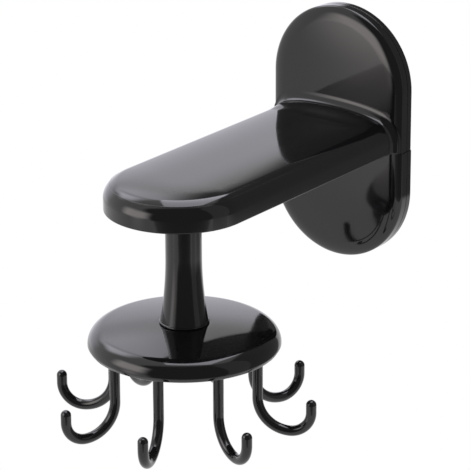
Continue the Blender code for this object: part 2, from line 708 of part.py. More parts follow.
def post(material, axis):
    """The turned post: spindle above, flared foot below, and a spigot that goes into the disc."""
    top_hole = SPINDLE_SCREW_SHANK_RADIUS + SCREW_HOLE_GAP
    bottom_hole = CLAMP_SCREW_SHANK_RADIUS + SCREW_HOLE_GAP
    top_hole_floor = SPINDLE_TOP - SPINDLE_SCREW_LENGTH - SCREW_HOLE_GAP
    bottom_hole_roof = CLAMP_HEAD_TOP + CLAMP_SCREW_LENGTH + SCREW_HOLE_GAP
    profile = [
        (0, top_hole_floor),
        (top_hole, top_hole_floor),
        (top_hole, SPINDLE_TOP),
        (SPINDLE_RADIUS - POST_CHAMFER, SPINDLE_TOP),
        (SPINDLE_RADIUS, SPINDLE_TOP - POST_CHAMFER),
        (SPINDLE_RADIUS, POST_TOP),
        (POST_RADIUS - POST_CHAMFER, POST_TOP),
        (POST_RADIUS, POST_TOP - POST_CHAMFER),
    ]
    lip_top = POST_FOOT + POST_LIP_HEIGHT
    for step in range(FLARE_STEPS + 1):
        share = step / FLARE_STEPS
        height = POST_FOOT + POST_FLARE_HEIGHT + (lip_top - POST_FOOT - POST_FLARE_HEIGHT) * share
        profile.append((POST_RADIUS + (POST_FOOT_RADIUS - POST_RADIUS) * share**2, height))
    profile += [
        (POST_FOOT_RADIUS - POST_LIP_HEIGHT, POST_FOOT),
        (SPIGOT_RADIUS, POST_FOOT),
        (SPIGOT_RADIUS, SPIGOT_BOTTOM + POST_CHAMFER),
        (SPIGOT_RADIUS - POST_CHAMFER, SPIGOT_BOTTOM),
        (bottom_hole, SPIGOT_BOTTOM),
        (bottom_hole, bottom_hole_roof),
        (0, bottom_hole_roof),
    ]
    return finished(turned("post", profile, (0, AXIS_Y, 0)), "post", material, axis)


def disc_cover(material, axis):
    """The domed shell over the hooks, with a collar for the spigot and a ring over the hooks' heads."""
    outside = [(COLLAR_RADIUS, DISC_SEAT), (DISC_SEAT_RADIUS, DISC_SEAT)]
    for step in range(1, DOME_STEPS):
        radius = DISC_SEAT_RADIUS + (RIM_START_RADIUS - DISC_SEAT_RADIUS) * step / DOME_STEPS
        outside.append((radius, crown_height(radius)))
    rim_centre = (RIM_CENTRE_RADIUS, RIM_LEVEL)
    outside += arc(rim_centre, DISC_RIM_RADIUS, math.pi / 2 - RIM_START_ANGLE, 0, RIM_STEPS)
    outside.append((DISC_RADIUS - DISC_TUCK, SKIRT_BOTTOM))

    skirt_inner = DISC_RADIUS - DISC_WALL
    inside = [(skirt_inner, SKIRT_BOTTOM)]
    inside += arc(rim_centre, DISC_RIM_RADIUS - DISC_WALL, 0, math.pi / 2 - RIM_START_ANGLE, INNER_STEPS)
    ring_outer = HOOK_CIRCLE_RADIUS + CLAMP_RING_WIDTH / 2
    ring_inner = HOOK_CIRCLE_RADIUS - CLAMP_RING_WIDTH / 2
    inside += [
        (ring_outer, crown_height(ring_outer) - DISC_WALL),
        (ring_outer, CLAMP_RING_BOTTOM),
        (ring_inner, CLAMP_RING_BOTTOM),
        (ring_inner, crown_height(ring_inner) - DISC_WALL),
    ]
    collar_outer = COLLAR_RADIUS + COLLAR_WALL
    for step in range(1, INNER_STEPS + 1):
        radius = ring_inner + (collar_outer - ring_inner) * step / INNER_STEPS
        inside.append((radius, min(crown_height(radius), DISC_SEAT) - DISC_WALL))
    inside += [(collar_outer, COLLAR_BOTTOM), (COLLAR_RADIUS, COLLAR_BOTTOM)]
    piece = turned("disc", outside + inside, (0, AXIS_Y, 0), ring=True)
    return finished(piece, "disc_cover", material, axis)


def on_hook_circle(index, height):
    """Where a hook's stem stands."""
    heading = FIRST_HOOK_HEADING + 2 * math.pi * index / HOOK_COUNT
    x = HOOK_CIRCLE_RADIUS * math.sin(heading)
    y = AXIS_Y - HOOK_CIRCLE_RADIUS * math.cos(heading)
    return x, y, height


def hook_plate(material, axis):
    """The plate that carries the hooks in collared sockets and takes the clamp screw in a pocket."""
    hole = CLAMP_SCREW_SHANK_RADIUS + SCREW_HOLE_GAP
    profile = [
        (hole, CLAMP_BOSS_TOP),
        (CLAMP_BOSS_RADIUS, CLAMP_BOSS_TOP),
        (CLAMP_BOSS_RADIUS, HOOK_PLATE_TOP),
        (HOOK_PLATE_RADIUS, HOOK_PLATE_TOP),
        (HOOK_PLATE_RADIUS, HOOK_PLATE_BOTTOM),
        (CLAMP_POCKET_RADIUS, HOOK_PLATE_BOTTOM),
        (CLAMP_POCKET_RADIUS, POCKET_ROOF),
        (hole, POCKET_ROOF),
    ]
    piece = turned("hook plate", profile, (0, AXIS_Y, 0), ring=True)
    for index in range(HOOK_COUNT):
        x, y, _ = on_hook_circle(index, 0)
        middle = HOOK_PLATE_BOTTOM + HOOK_PLATE_THICKNESS / 2
        collar = cylinder(f"socket collar {index + 1}", SOCKET_COLLAR_RADIUS, SOCKET_BOTTOM, middle, (x, y))
        combine(piece, collar, "UNION")
    for index in range(HOOK_COUNT):
        x, y, _ = on_hook_circle(index, 0)
        low = SOCKET_BOTTOM - CUT_OVERRUN
        high = HOOK_PLATE_TOP + CUT_OVERRUN
        socket = cylinder(f"socket {index + 1}", HOOK_WIRE_RADIUS + SEAT_GAP, low, high, (x, y))
        combine(piece, socket, "DIFFERENCE")
    return finished(piece, "hook_plate", material, axis)


def hook_route():
    """Points down the stem and round the hook, as (distance out, height, radius), from head to tip."""
    inner_centre = (HOOK_INNER_RADIUS, HOOK_BOTTOM + HOOK_INNER_RADIUS)
    outer_centre = (HOOK_INNER_RADIUS, HOOK_BOTTOM + HOOK_OUTER_RADIUS)
    tip_out = HOOK_INNER_RADIUS + HOOK_OUTER_RADIUS
    tip_height = HOOK_BOTTOM + HOOK_OUTER_RADIUS + HOOK_TIP_RISE
    route = [
        (0, HOOK_HEAD_TOP, HOOK_HEAD_RADIUS),
        (0, HOOK_HEAD_TOP - HOOK_HEAD_HEIGHT, HOOK_HEAD_RADIUS),
        (0, HOOK_HEAD_BOTTOM, HOOK_WIRE_RADIUS),
    ]
    round_inner = arc(inner_centre, HOOK_INNER_RADIUS, math.pi, 1.5 * math.pi, INNER_BEND_STEPS)
    round_outer = arc(outer_centre, HOOK_OUTER_RADIUS, 1.5 * math.pi, 2 * math.pi, OUTER_BEND_STEPS)
    route += [(out, height, HOOK_WIRE_RADIUS) for out, height in round_inner + round_outer[1:]]
    for step in range(TIP_STEPS + 1):
        angle = math.pi / 2 * step / (TIP_STEPS + 1)
        rise = HOOK_WIRE_RADIUS * math.sin(angle)
        route.append((tip_out, tip_height + rise, HOOK_WIRE_RADIUS * math.cos(angle)))
    return route


def hooks(material, axis):
    """Eight round J-hooks, headed at the top, that share one curve."""
    route = hook_route()
    curve = bpy.data.curves.new("hook", "CURVE")
    curve.dimensions = "3D"
    curve.bevel_depth = HOOK_WIRE_RADIUS
    curve.bevel_resolution = WIRE_BEVEL_RESOLUTION
    curve.use_fill_caps = True
    curve.twist_mode = "MINIMUM"
    spline = curve.splines.new("POLY")
    spline.points.add(len(route) - 1)
    for point, (out, height, radius) in zip(spline.points, route):
        point.co = (out, 0, height, 1)
        point.radius = radius / HOOK_WIRE_RADIUS
    curve.materials.append(material)
    for index in range(HOOK_COUNT):
        hook = bpy.data.objects.new(f"hook_{index + 1}", curve)
        RACK.objects.link(hook)
        heading = FIRST_HOOK_HEADING + 2 * math.pi * index / HOOK_COUNT
        hook.location = on_hook_circle(index, 0)
        hook.rotation_euler = (0, 0, heading + HOOK_TURN - math.pi / 2)
        hook.parent = axis
        hook.matrix_parent_inverse = axis.matrix_world.inverted()


def axis_screws(material, axis):
    """The screw on the spindle, head up, and the clamp screw under the hook plate, head down."""
    spindle = pan_screw(
        SPINDLE_SCREW_HEAD_RADIUS,
        SPINDLE_SCREW_HEAD_HEIGHT,
        SPINDLE_SCREW_SHANK_RADIUS,
        SPINDLE_SCREW_LENGTH,
    )
    at = (0, AXIS_Y, SPINDLE_HEAD_BOTTOM)
    finished(turned("screw", spindle, at, steps=SCREW_STEPS), "spindle_screw", material, axis)
    clamp = pan_screw(
        CLAMP_SCREW_HEAD_RADIUS, CLAMP_SCREW_HEAD_HEIGHT, CLAMP_SCREW_SHANK_RADIUS, CLAMP_SCREW_LENGTH
    )
    at = (0, AXIS_Y, CLAMP_HEAD_TOP)
    piece = turned("screw", clamp, at, steps=SCREW_STEPS, pointing=(0, 0, -1))
    finished(piece, "clamp_screw", material, axis)


def carousel_axis():
    """An empty on the post's axis that carries everything that turns."""
    axis = bpy.data.objects.new("carousel_axis", None)
    RACK.objects.link(axis)
    axis.location = (0, AXIS_Y, POST_TOP)
    bpy.context.view_layer.update()
    return axis


def build():
    """Model the rack."""
    clear_scene()
    black = surface("black_gloss_plastic", (0.012, 0.012, 0.013), 0.12)
    nylon = surface("natural_nylon", (0.72, 0.7, 0.64), 0.45)
    steel = surface("zinc_plated_steel", (0.62, 0.63, 0.65), 0.32, 1.0)
    foam = surface("adhesive_foam", (0.55, 0.56, 0.57), 0.85)

    wall_bracket(black)
    rear_plate(black)
    adhesive_pad(foam)
    rear_plate_screws(steel)
    arm_cover(black)
    cover_screws(steel)
    pivot_bush(nylon)
    thrust_outer = POST_RADIUS - POST_CHAMFER
    washer("thrust_washer", BUSH_INNER_RADIUS, thrust_outer, THRUST_TOP, THRUST_WASHER_THICKNESS, nylon)

    axis = carousel_axis()
    hole = SPINDLE_SCREW_SHANK_RADIUS + SCREW_HOLE_GAP
    thickness = RETAINING_WASHER_THICKNESS
    washer("retaining_washer", hole, RETAINING_WASHER_RADIUS, WASHER_TOP, thickness, steel, axis)
    hole = CLAMP_SCREW_SHANK_RADIUS + SCREW_HOLE_GAP
    thickness = CLAMP_WASHER_THICKNESS
    washer("clamp_washer", hole, CLAMP_WASHER_RADIUS, CLAMP_WASHER_TOP, thickness, steel, axis)
    axis_screws(steel, axis)
    post(black, axis)
    disc_cover(black, axis)
    hook_plate(black, axis)
    hooks(black, axis)


build()
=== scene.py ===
"""Looks of the adhesive coat hook rack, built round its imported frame.

Every visible piece is a fine version of its frame node. All lengths are in metres.
"""

import json
import math

import bmesh
import bpy
from mathutils import Matrix, Vector

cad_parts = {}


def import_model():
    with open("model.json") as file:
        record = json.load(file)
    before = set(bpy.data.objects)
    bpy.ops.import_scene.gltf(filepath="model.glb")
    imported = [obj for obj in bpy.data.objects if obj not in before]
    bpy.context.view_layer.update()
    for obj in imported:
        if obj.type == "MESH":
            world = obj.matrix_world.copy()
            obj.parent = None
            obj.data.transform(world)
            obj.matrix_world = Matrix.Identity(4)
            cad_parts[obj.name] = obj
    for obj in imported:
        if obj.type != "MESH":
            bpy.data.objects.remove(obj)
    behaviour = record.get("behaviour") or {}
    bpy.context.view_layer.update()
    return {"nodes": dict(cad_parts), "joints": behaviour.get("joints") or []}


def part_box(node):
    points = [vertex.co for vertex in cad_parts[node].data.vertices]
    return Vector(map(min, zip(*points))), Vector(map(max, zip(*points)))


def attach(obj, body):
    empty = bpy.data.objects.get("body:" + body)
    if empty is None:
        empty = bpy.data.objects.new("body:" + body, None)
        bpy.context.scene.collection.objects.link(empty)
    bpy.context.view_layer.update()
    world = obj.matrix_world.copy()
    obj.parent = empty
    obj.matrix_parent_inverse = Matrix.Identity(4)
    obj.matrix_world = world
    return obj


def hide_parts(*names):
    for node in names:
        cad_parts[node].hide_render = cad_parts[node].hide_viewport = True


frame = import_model()

MM = 0.001

# Camera: the photograph's viewing place and direction, in the rack's own frame
CAMERA_PLACE = (0.615732, -0.871962, 0.356223)
CAMERA_RIGHT = (0.79299982, 0.60921373, -0.00314912)
CAMERA_UP = (-0.2121386, 0.28097426, 0.93597579)
CAMERA_BACK = (0.57109413, -0.74156058, 0.35205028)
CAMERA_LENS = 220.529
CAMERA_SENSOR = 36.0
CAMERA_REACH = 10.0

# Studio: a white room with a pale floor, and cards that only reflections see. Each card has its name, the
# heading and rise in degrees at which the rack sees it, its width and height in degrees, its distance, its
# brightness and colour, and the share of its half-size over which it fades out
WARM = (1.0, 0.94, 0.92, 1)
NEUTRAL = (1, 1, 1, 1)
COOL = (0.98, 0.97, 1.06, 1)
FLOOR_LEVEL = -1.6
FLOOR_SIZE = 30.0
FLOOR_COLOUR = (0.86, 0.86, 0.86, 1)
FLOOR_ROUGHNESS = 0.9
STUDIO_CENTRE = Vector((0, -0.09, 0))
OVERHEAD_HEIGHT = 1.2
OVERHEAD_TURN = math.radians(31.9)
OVERHEAD_REACH = ((-0.24, 0.41), (-0.23, 1.1))
OVERHEAD_BRIGHTNESS = 4.2
OVERHEAD_FADE = 0.06
CARDS = (
    ("stage_left_wall", -124, 5, 76, 46, 3.0, 1.5, COOL, 0.5),
    ("stage_dark_front", 44, 22, 120, 112, 2.4, 0.13, NEUTRAL, 0.4),
    ("stage_grey_right", 104, 18, 34, 84, 2.6, 0.4, NEUTRAL, 0.2),
    ("stage_dark_right", 146, 18, 80, 84, 2.5, 0.2, NEUTRAL, 0.15),
    ("stage_dark_beneath", 20, -78, 60, 50, 2.2, 0.1, NEUTRAL, 0.3),
    ("stage_low_softbox", -26, -11, 32, 28, 2.1, 2.3, WARM, 1.0),
    ("stage_front_softbox", -26, 8.6, 54, 47, 0.3, 3.8, WARM, 0.65),
    ("stage_left_softbox", -98, 44, 40, 34, 2.0, 4.2, COOL, 0.8),
    ("stage_left_fill", -122, 37, 42, 34, 2.9, 2.1, COOL, 0.6),
    ("stage_back_flag", -157, 39, 38, 20, 0.26, 0.14, NEUTRAL, 0.6),
    ("stage_side_flag", -172, 33, 44, 26, 0.262, 0.14, NEUTRAL, 0.5),
)

# Finishes
GLOSS_BLACK = (0.005, 0.005, 0.0056, 1)
GLOSS_IOR = 1.5
SATIN_BLACK = (0.014, 0.014, 0.015, 1)
ZINC = (0.62, 0.63, 0.65, 1)
NYLON_TINTS = ((0.7, 0.68, 0.61, 1), (0.75, 0.73, 0.67, 1))
FOAM_TINTS = ((0.5, 0.51, 0.52, 1), (0.6, 0.61, 0.62, 1))
FOAM_CELL_SCALE = 1600.0
FOAM_ROUGHNESS = 0.88
NOISE_LOW = 0.3
NOISE_HIGH = 0.7

# Sizes that the frame's boxes give
BRACKET_LOW, BRACKET_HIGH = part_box("wall_bracket")
COVER_LOW, COVER_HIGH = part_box("arm_cover")
REAR_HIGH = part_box("rear_plate")[1]
PAD_LOW, PAD_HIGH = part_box("adhesive_pad")
POST_LOW, POST_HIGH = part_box("post")
DISC_LOW, DISC_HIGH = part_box("disc_cover")
HOOK_PLATE_LOW, HOOK_PLATE_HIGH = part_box("hook_plate")
BUSH_LOW, BUSH_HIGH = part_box("pivot_bush")
THRUST_LOW, THRUST_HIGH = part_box("thrust_washer")
CLAMP_WASHER_LOW, CLAMP_WASHER_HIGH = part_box("clamp_washer")
CLAMP_SCREW_LOW, CLAMP_SCREW_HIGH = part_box("clamp_screw")
COVER_SCREW_LOW, COVER_SCREW_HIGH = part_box("cover_screw_front")

AXIS_Y = frame["joints"][0]["pos_m"][1]
SEAT_GAP = 0.3 * MM
EDGE_ROUND = 0.2 * MM
CUT_REACH = 1.0 * MM

# Wall plate and arm: the frame's sizes, with a rounder arm top, a crowned plate and an arched root. Distances
# and depths are measured from the wall, insets from the plate's outline
ARM_BOTTOM = -2.85 * MM
PARTING_STEP = 0.3 * MM
PARTING_DROP = 0.25 * MM
PARTING_LEVEL = ARM_BOTTOM - PARTING_DROP
PLATE_HALF_WIDTH = BRACKET_HIGH.x - PARTING_STEP
PLATE_HALF_HEIGHT = BRACKET_HIGH.z
PLATE_FRONT = 8.6 * MM
PLATE_CROWN = 0.9 * MM
PLATE_CROWN_REACH = 29.4 * MM
PLATE_EDGE_WIDTH = 5.9 * MM
PLATE_EDGE_DEPTH = 2.2 * MM
SHELL_BACK = -BRACKET_HIGH.y
SEAM_ROUND = 0.22 * MM
BRACKET_WALL = 2.2 * MM
SHELL_FLOOR = PLATE_FRONT - BRACKET_WALL
REAR_PLATE_BACK = -REAR_HIGH.y
REAR_PLATE_SEAM = 0.12 * MM
REAR_PLATE_FRONT = SHELL_BACK - REAR_PLATE_SEAM
REAR_PLATE_ROUND = 0.5 * MM
REAR_HEAD_RADIUS = 2.9 * MM
REAR_SHANK_RADIUS = REAR_HEAD_RADIUS / 2
PAD_INSET = 3.0 * MM
PAD_SEAT = 1.1 * MM
ARM_HALF_WIDTH = 27.5 * MM
ARM_TOP = 8.95 * MM
ARM_CROWN = 2.0 * MM
ARM_CROWN_POWER = 4
ARM_EDGE_WIDTH = 5.6 * MM
ARM_EDGE_HEIGHT = 5.2 * MM
ARM_LIP_ROUND = 0.45 * MM
ROOT_FILLET_TOP = 3.6 * MM
ROOT_FILLET_REACH = 3.2 * MM
ROOT_FILLET_SIDE = 2.4 * MM
ROOT_ARCH = 2.6 * MM
ROOT_ARCH_REACH = 9.0 * MM
ROOT_OVERLAP = 1.0 * MM
ROOT_START = SHELL_FLOOR - ROOT_OVERLAP
FILLET_END = PLATE_FRONT + ROOT_FILLET_REACH
NOSE_TIP = -BRACKET_LOW.y
NOSE_CENTRE = NOSE_TIP - ARM_HALF_WIDTH

# Underside cover of the arm and what turns in it
COVER_THICKNESS = 1.8 * MM
COVER_EDGE_ROUND = 0.25 * MM
COVER_HOLE_RADIUS = 2.8 * MM
HUB_RADIUS = 9.0 * MM
BUSH_INNER_RADIUS = 3.6 * MM
BUSH_OUTER_RADIUS = 5.1 * MM
BUSH_FLANGE = 0.8 * MM

# Screws: a thread has its pitch and depth, and a drive its share of the head's radius and its depth. The
# thread's shape has shares of the pitch, with 1 at its root and 0 at its crest. The drive's width is a share of
# its radius, and its taper the share that is left at its bottom
COVER_SCREWS = ("cover_screw_front", "cover_screw_left", "cover_screw_right", "cover_screw_rear")
COVER_SCREW_RADIUS = (COVER_SCREW_HIGH.x - COVER_SCREW_LOW.x) / 2
COVER_SCREW_LAND = 0.2 * MM
COVER_SCREW_HEAD = 1.3 * MM
COVER_SCREW_SHANK = 1.2 * MM
COVER_SCREW_THREAD = (0.6 * MM, 0.2 * MM)
COVER_SCREW_DRIVE = (0.62, 0.8 * MM)
CLAMP_SCREW_HEAD = 1.5 * MM
CLAMP_SCREW_SHANK = 1.4 * MM
CLAMP_SCREW_THREAD = (0.7 * MM, 0.22 * MM)
CLAMP_SCREW_DRIVE = (0.6, 0.9 * MM)
DRIVE_WIDTH = 0.42
DRIVE_TAPER = 0.55
THREAD_SHAPE = ((0.15, 1), (0.5, 0), (0.85, 1))

# Post
POST_RADIUS = 6.75 * MM
POST_FOOT_RADIUS = (POST_HIGH.x - POST_LOW.x) / 2
POST_TOP = THRUST_LOW.z - SEAT_GAP
POST_SHOULDER = 1.0 * MM
POST_FOOT = -48.2 * MM
POST_FLARE_HEIGHT = 26.0 * MM
POST_BEAD = 0.4 * MM
POST_BEAD_START = math.pi / 3
POST_CHAMFER = 0.4 * MM
SPINDLE_RADIUS = 3.3 * MM
SPIGOT_RADIUS = 5.0 * MM

# Disc over the hooks
DISC_RADIUS = (DISC_HIGH.x - DISC_LOW.x) / 2
DISC_SEAT_GAP = 0.1 * MM
DISC_SEAT = POST_FOOT - DISC_SEAT_GAP
DISC_SEAT_MARGIN = 0.6 * MM
DISC_SEAT_RADIUS = POST_FOOT_RADIUS + DISC_SEAT_MARGIN
DISC_CROWN_RADIUS = 225.0 * MM
DISC_RIM_RADIUS = 6.2 * MM
DISC_TUCK = 0.8 * MM
DISC_WALL = 2.0 * MM
DISC_LIP_ROUND = 0.4 * MM
COLLAR_RADIUS = SPIGOT_RADIUS + SEAT_GAP
COLLAR_WALL = 2.6 * MM

# Plate that carries the hooks
HOOK_PLATE_THICKNESS = 1.8 * MM
HOOK_PLATE_RADIUS = (HOOK_PLATE_HIGH.x - HOOK_PLATE_LOW.x) / 2
SOCKET_COLLAR_RADIUS = 3.9 * MM
SOCKET_COLLAR_DROP = 1.2 * MM
CLAMP_POCKET_RADIUS = 6.4 * MM
CLAMP_BOSS_RADIUS = 8.2 * MM
CLAMP_HOLE_RADIUS = 1.7 * MM

# Hooks
HOOK_COUNT = 8
FIRST_HOOK_HEADING = math.radians(18.8)
HOOK_TURN = math.radians(4.0)
HOOK_CIRCLE_INSET = 7.5 * MM
HOOK_CIRCLE_RADIUS = DISC_RADIUS - HOOK_CIRCLE_INSET
HOOK_WIRE_RADIUS = 1.96 * MM
HOOK_INNER_RADIUS = 12.25 * MM
HOOK_OUTER_RADIUS = 8.15 * MM
HOOK_TIP_RISE = 3.1 * MM
HOOK_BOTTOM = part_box("hook_1")[0].z + HOOK_WIRE_RADIUS
HOOK_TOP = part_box("hook_1")[1].z

# How finely round shapes are divided
END_ARC_STEPS = 72
PLATE_EDGE_STEPS = 20
PLATE_CROWN_STEPS = 12
NOSE_STEPS = 96
SECTION_EDGE_STEPS = 20
CROWN_STEPS = 14
FILLET_STEPS = 18
ROOT_ARCH_STEPS = 12
LIP_STEPS = 4
CORNER_STEPS = 3
COVER_EDGE_STEPS = 2
BEAD_STEPS = 8
TURN_STEPS = 128
SMALL_TURN_STEPS = 64
DISC_STEPS = 224
FLARE_STEPS = 26
DOME_STEPS = 24
RIM_STEPS = 28
HOOK_SIDES = 32
HOOK_STEM_STEPS = 12
INNER_BEND_STEPS = 36
OUTER_BEND_STEPS = 28
TIP_STEPS = 8
WELD_DISTANCE = 0.002 * MM
SHARP_ANGLE = math.radians(32)


def placed(name, data):
    """A new object in the scene."""
    piece = bpy.data.objects.new(name, data)
    bpy.context.scene.collection.objects.link(piece)
    return piece


def formed(name, work):
    """A new object in the scene from a bmesh, which is freed."""
    mesh = bpy.data.meshes.new(name)
    work.to_mesh(mesh)
    work.free()
    return placed(name, mesh)


def welded(name, work):
    """A new object from a bmesh, once its doubles are welded and its faces point outwards."""
    bmesh.ops.remove_doubles(work, verts=work.verts, dist=WELD_DISTANCE)
    bmesh.ops.dissolve_degenerate(work, edges=work.edges, dist=WELD_DISTANCE)
    bmesh.ops.recalc_face_normals(work, faces=work.faces)
    return formed(name, work)


def evaluated_mesh(piece):
    """A new mesh of a piece as its modifiers or curve settings make it."""
    graph = bpy.context.evaluated_depsgraph_get()
    return bpy.data.meshes.new_from_object(piece.evaluated_get(graph))


def arc(centre, radius, start, stop, steps):
    """Points on a circle from angle start to angle stop, both included."""
    points = []
    for step in range(steps + 1):
        angle = start + (stop - start) * step / steps
        points.append((centre[0] + radius * math.cos(angle), centre[1] + radius * math.sin(angle)))
    return points


def softened(points, radius):
    """A profile with each of its inner corners rounded."""
    result = [points[0]]
    for before, corner, after in zip(points, points[1:], points[2:]):
        corner = Vector(corner)
        back = Vector(before) - corner
        ahead = Vector(after) - corner
        reach = min(radius, back.length / 2, ahead.length / 2)
        start = corner + back.normalized() * reach
        stop = corner + ahead.normalized() * reach
        for step in range(CORNER_STEPS + 1):
            share = step / CORNER_STEPS
            bend = start * (1 - share) ** 2 + corner * 2 * share * (1 - share) + stop * share**2
            result.append((bend.x, bend.y))
    return result + [points[-1]]


def laid(work, rings, closed=True):
    """Lay rings of equally many points into a bmesh, with faces from each to the next, and give their rows."""
    rows = [[work.verts.new(point) for point in ring] for ring in rings]
    for row, following in zip(rows, rows[1:]):
        for index in range(0 if closed else 1, len(row)):
            work.faces.new((row[index - 1], row[index], following[index], following[index - 1]))
    return rows


def skinned(name, rings, capped=True):
    """An object skinned through rings of equally many points."""
    work = bmesh.new()
    rows = laid(work, rings)
    if capped:
        work.faces.new(rows[0])
        work.faces.new(rows[-1])
    return welded(name, work)


def smoothed(piece):
    """Smooth shading that keeps sharp edges and lets large faces stay flat."""
    piece.data.shade_smooth()
    piece.data.set_sharp_from_angle(angle=SHARP_ANGLE)
    weighted = piece.modifiers.new("Even normals", "WEIGHTED_NORMAL")
    weighted.keep_sharp = True
    return piece


def joined(piece, tool, operation="UNION"):
    """Join or cut a piece with a tool, for good, and remove the tool."""
    change = piece.modifiers.new("Join", "BOOLEAN")
    change.object = tool
    change.operation = operation
    change.solver = "EXACT"
    mesh = evaluated_mesh(piece)
    piece.modifiers.remove(change)
    piece.data = mesh
    bpy.data.objects.remove(tool, do_unlink=True)
    return piece


def turned(name, profile, at=(0, AXIS_Y), steps=TURN_STEPS, ring=False):
    """A profile of (radius, height) points turned round an upright axis; a ring's profile is closed."""
    angles = [2 * math.pi * step / steps for step in range(steps)]
    rings = []
    for radius, height in profile + ([profile[0]] if ring else []):
        rings.append(
            [(at[0] + radius * math.sin(angle), at[1] - radius * math.cos(angle), height) for angle in angles]
        )
    return skinned(name, rings, capped=False)


def washer(name, inner, low, high):
    """A flat ring with soft edges that fills a box round the axis and has an inner radius."""
    outer = (high.x - low.x) / 2
    corners = [(inner, high.z), (outer, high.z), (outer, low.z), (inner, low.z)]
    return turned(name, softened(corners + [corners[0]], EDGE_ROUND))


def dressed(piece, node, body, material):
    """Let a piece stand for its node: what it rides on and its finish."""
    piece.data.materials.clear()
    piece.data.materials.append(material)
    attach(piece, body)
    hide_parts(node)


def middle_of(node):
    """The middle of a node's box, seen from above."""
    low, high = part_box(node)
    return (low.x + high.x) / 2, (low.y + high.y) / 2


def plate_ring(inset, step, distance):
    """The plate's outline moved in by an inset, and out again by a step below its parting line."""
    rise = PLATE_HALF_HEIGHT - PLATE_HALF_WIDTH
    upper = PLATE_HALF_WIDTH - inset
    lower = upper + step
    top = arc((0, rise), upper, 0, math.pi, END_ARC_STEPS)
    bottom = arc((0, -rise), lower, math.pi, 2 * math.pi, END_ARC_STEPS)
    left = [(-upper, PARTING_LEVEL), (-lower, PARTING_LEVEL)]
    right = [(lower, PARTING_LEVEL), (upper, PARTING_LEVEL)]
    return [(across, -distance, height) for across, height in top + left + bottom + right]


def rounded_rings(radius, back, facing):
    """Rings round an outer edge at a distance from the wall; facing is 1 for the wall side, -1 for the front."""
    rings = []
    for step in range(LIP_STEPS + 1):
        angle = math.pi / 2 * step / LIP_STEPS
        distance = back + facing * radius * (1 - math.cos(angle))
        rings.append(plate_ring(radius * (1 - math.sin(angle)), PARTING_STEP, distance))
    return rings


def crown_rise(inset):
    """How far the plate's front bulges at an inset from its outline."""
    share = min(inset / PLATE_CROWN_REACH, 1)
    return PLATE_CROWN * (1 - (1 - share) ** 2)


def plate_skin():
    """The plate's shell: inner floor, inner wall, rim at the seam, side wall, elliptical edge and crown."""
    rings = [plate_ring(BRACKET_WALL, 0, SHELL_FLOOR), plate_ring(BRACKET_WALL, 0, SHELL_BACK)]
    rings += rounded_rings(SEAM_ROUND, SHELL_BACK, 1)
    for step in range(PLATE_EDGE_STEPS + 1):
        angle = math.pi / 2 * step / PLATE_EDGE_STEPS
        inset = PLATE_EDGE_WIDTH * (1 - math.cos(angle))
        distance = PLATE_FRONT - PLATE_EDGE_DEPTH * (1 - math.sin(angle)) + crown_rise(inset)
        rings.append(plate_ring(inset, PARTING_STEP, distance))
    for step in range(1, PLATE_CROWN_STEPS + 1):
        inset = PLATE_EDGE_WIDTH + (PLATE_CROWN_REACH - PLATE_EDGE_WIDTH) * step / PLATE_CROWN_STEPS
        rings.append(plate_ring(inset, PARTING_STEP, PLATE_FRONT + crown_rise(inset)))
    return skinned("wall_bracket_moulding", rings)


def arm_section(side_growth=0, top_growth=0, arch=0):
    """Half of the arm's wall in cross-section: over its crown, down its side, round its lip and up inside."""
    half_width = ARM_HALF_WIDTH + side_growth
    top = ARM_TOP + top_growth
    edge_width = ARM_EDGE_WIDTH + side_growth
    edge_height = ARM_EDGE_HEIGHT + top_growth
    crown_half = half_width - edge_width

    def crown_height(out):
        """The crown's height at a distance from the arm's middle."""
        share = out / half_width
        return top + arch * (1 - share**2) - ARM_CROWN * share**ARM_CROWN_POWER

    points = []
    for step in range(CROWN_STEPS):
        out = crown_half * step / CROWN_STEPS
        points.append((out, crown_height(out)))
    for step in range(SECTION_EDGE_STEPS + 1):
        angle = math.pi / 2 * step / SECTION_EDGE_STEPS
        out = crown_half + edge_width * math.sin(angle)
        points.append((out, crown_height(out) - edge_height * (1 - math.cos(angle))))
    lip = ARM_LIP_ROUND
    points += arc((half_width - lip, ARM_BOTTOM + lip), lip, 0, -math.pi / 2, LIP_STEPS)
    inner = ARM_HALF_WIDTH - BRACKET_WALL
    ceiling = ARM_TOP - BRACKET_WALL
    points += softened([(inner + lip, ARM_BOTTOM), (inner, ARM_BOTTOM), (inner, ceiling), (0, ceiling)], lip)
    return points


def arm_stations():
    """Distances and cross-sections of the arm from the wall out: its fillet and the end of its root's arch."""
    stations = [(ROOT_START, arm_section(ROOT_FILLET_SIDE, ROOT_FILLET_TOP, ROOT_ARCH))]
    for step in range(FILLET_STEPS + 1):
        angle = math.pi / 2 * step / FILLET_STEPS
        share = 1 - math.sin(angle)
        distance = PLATE_FRONT + ROOT_FILLET_REACH * (1 - math.cos(angle))
        stations.append((distance, arm_section(ROOT_FILLET_SIDE * share, ROOT_FILLET_TOP * share, ROOT_ARCH)))
    for step in range(1, ROOT_ARCH_STEPS + 1):
        share = step / ROOT_ARCH_STEPS
        eased = share * share * (3 - 2 * share)
        stations.append((FILLET_END + ROOT_ARCH_REACH * share, arm_section(arch=ROOT_ARCH * (1 - eased))))
    return stations


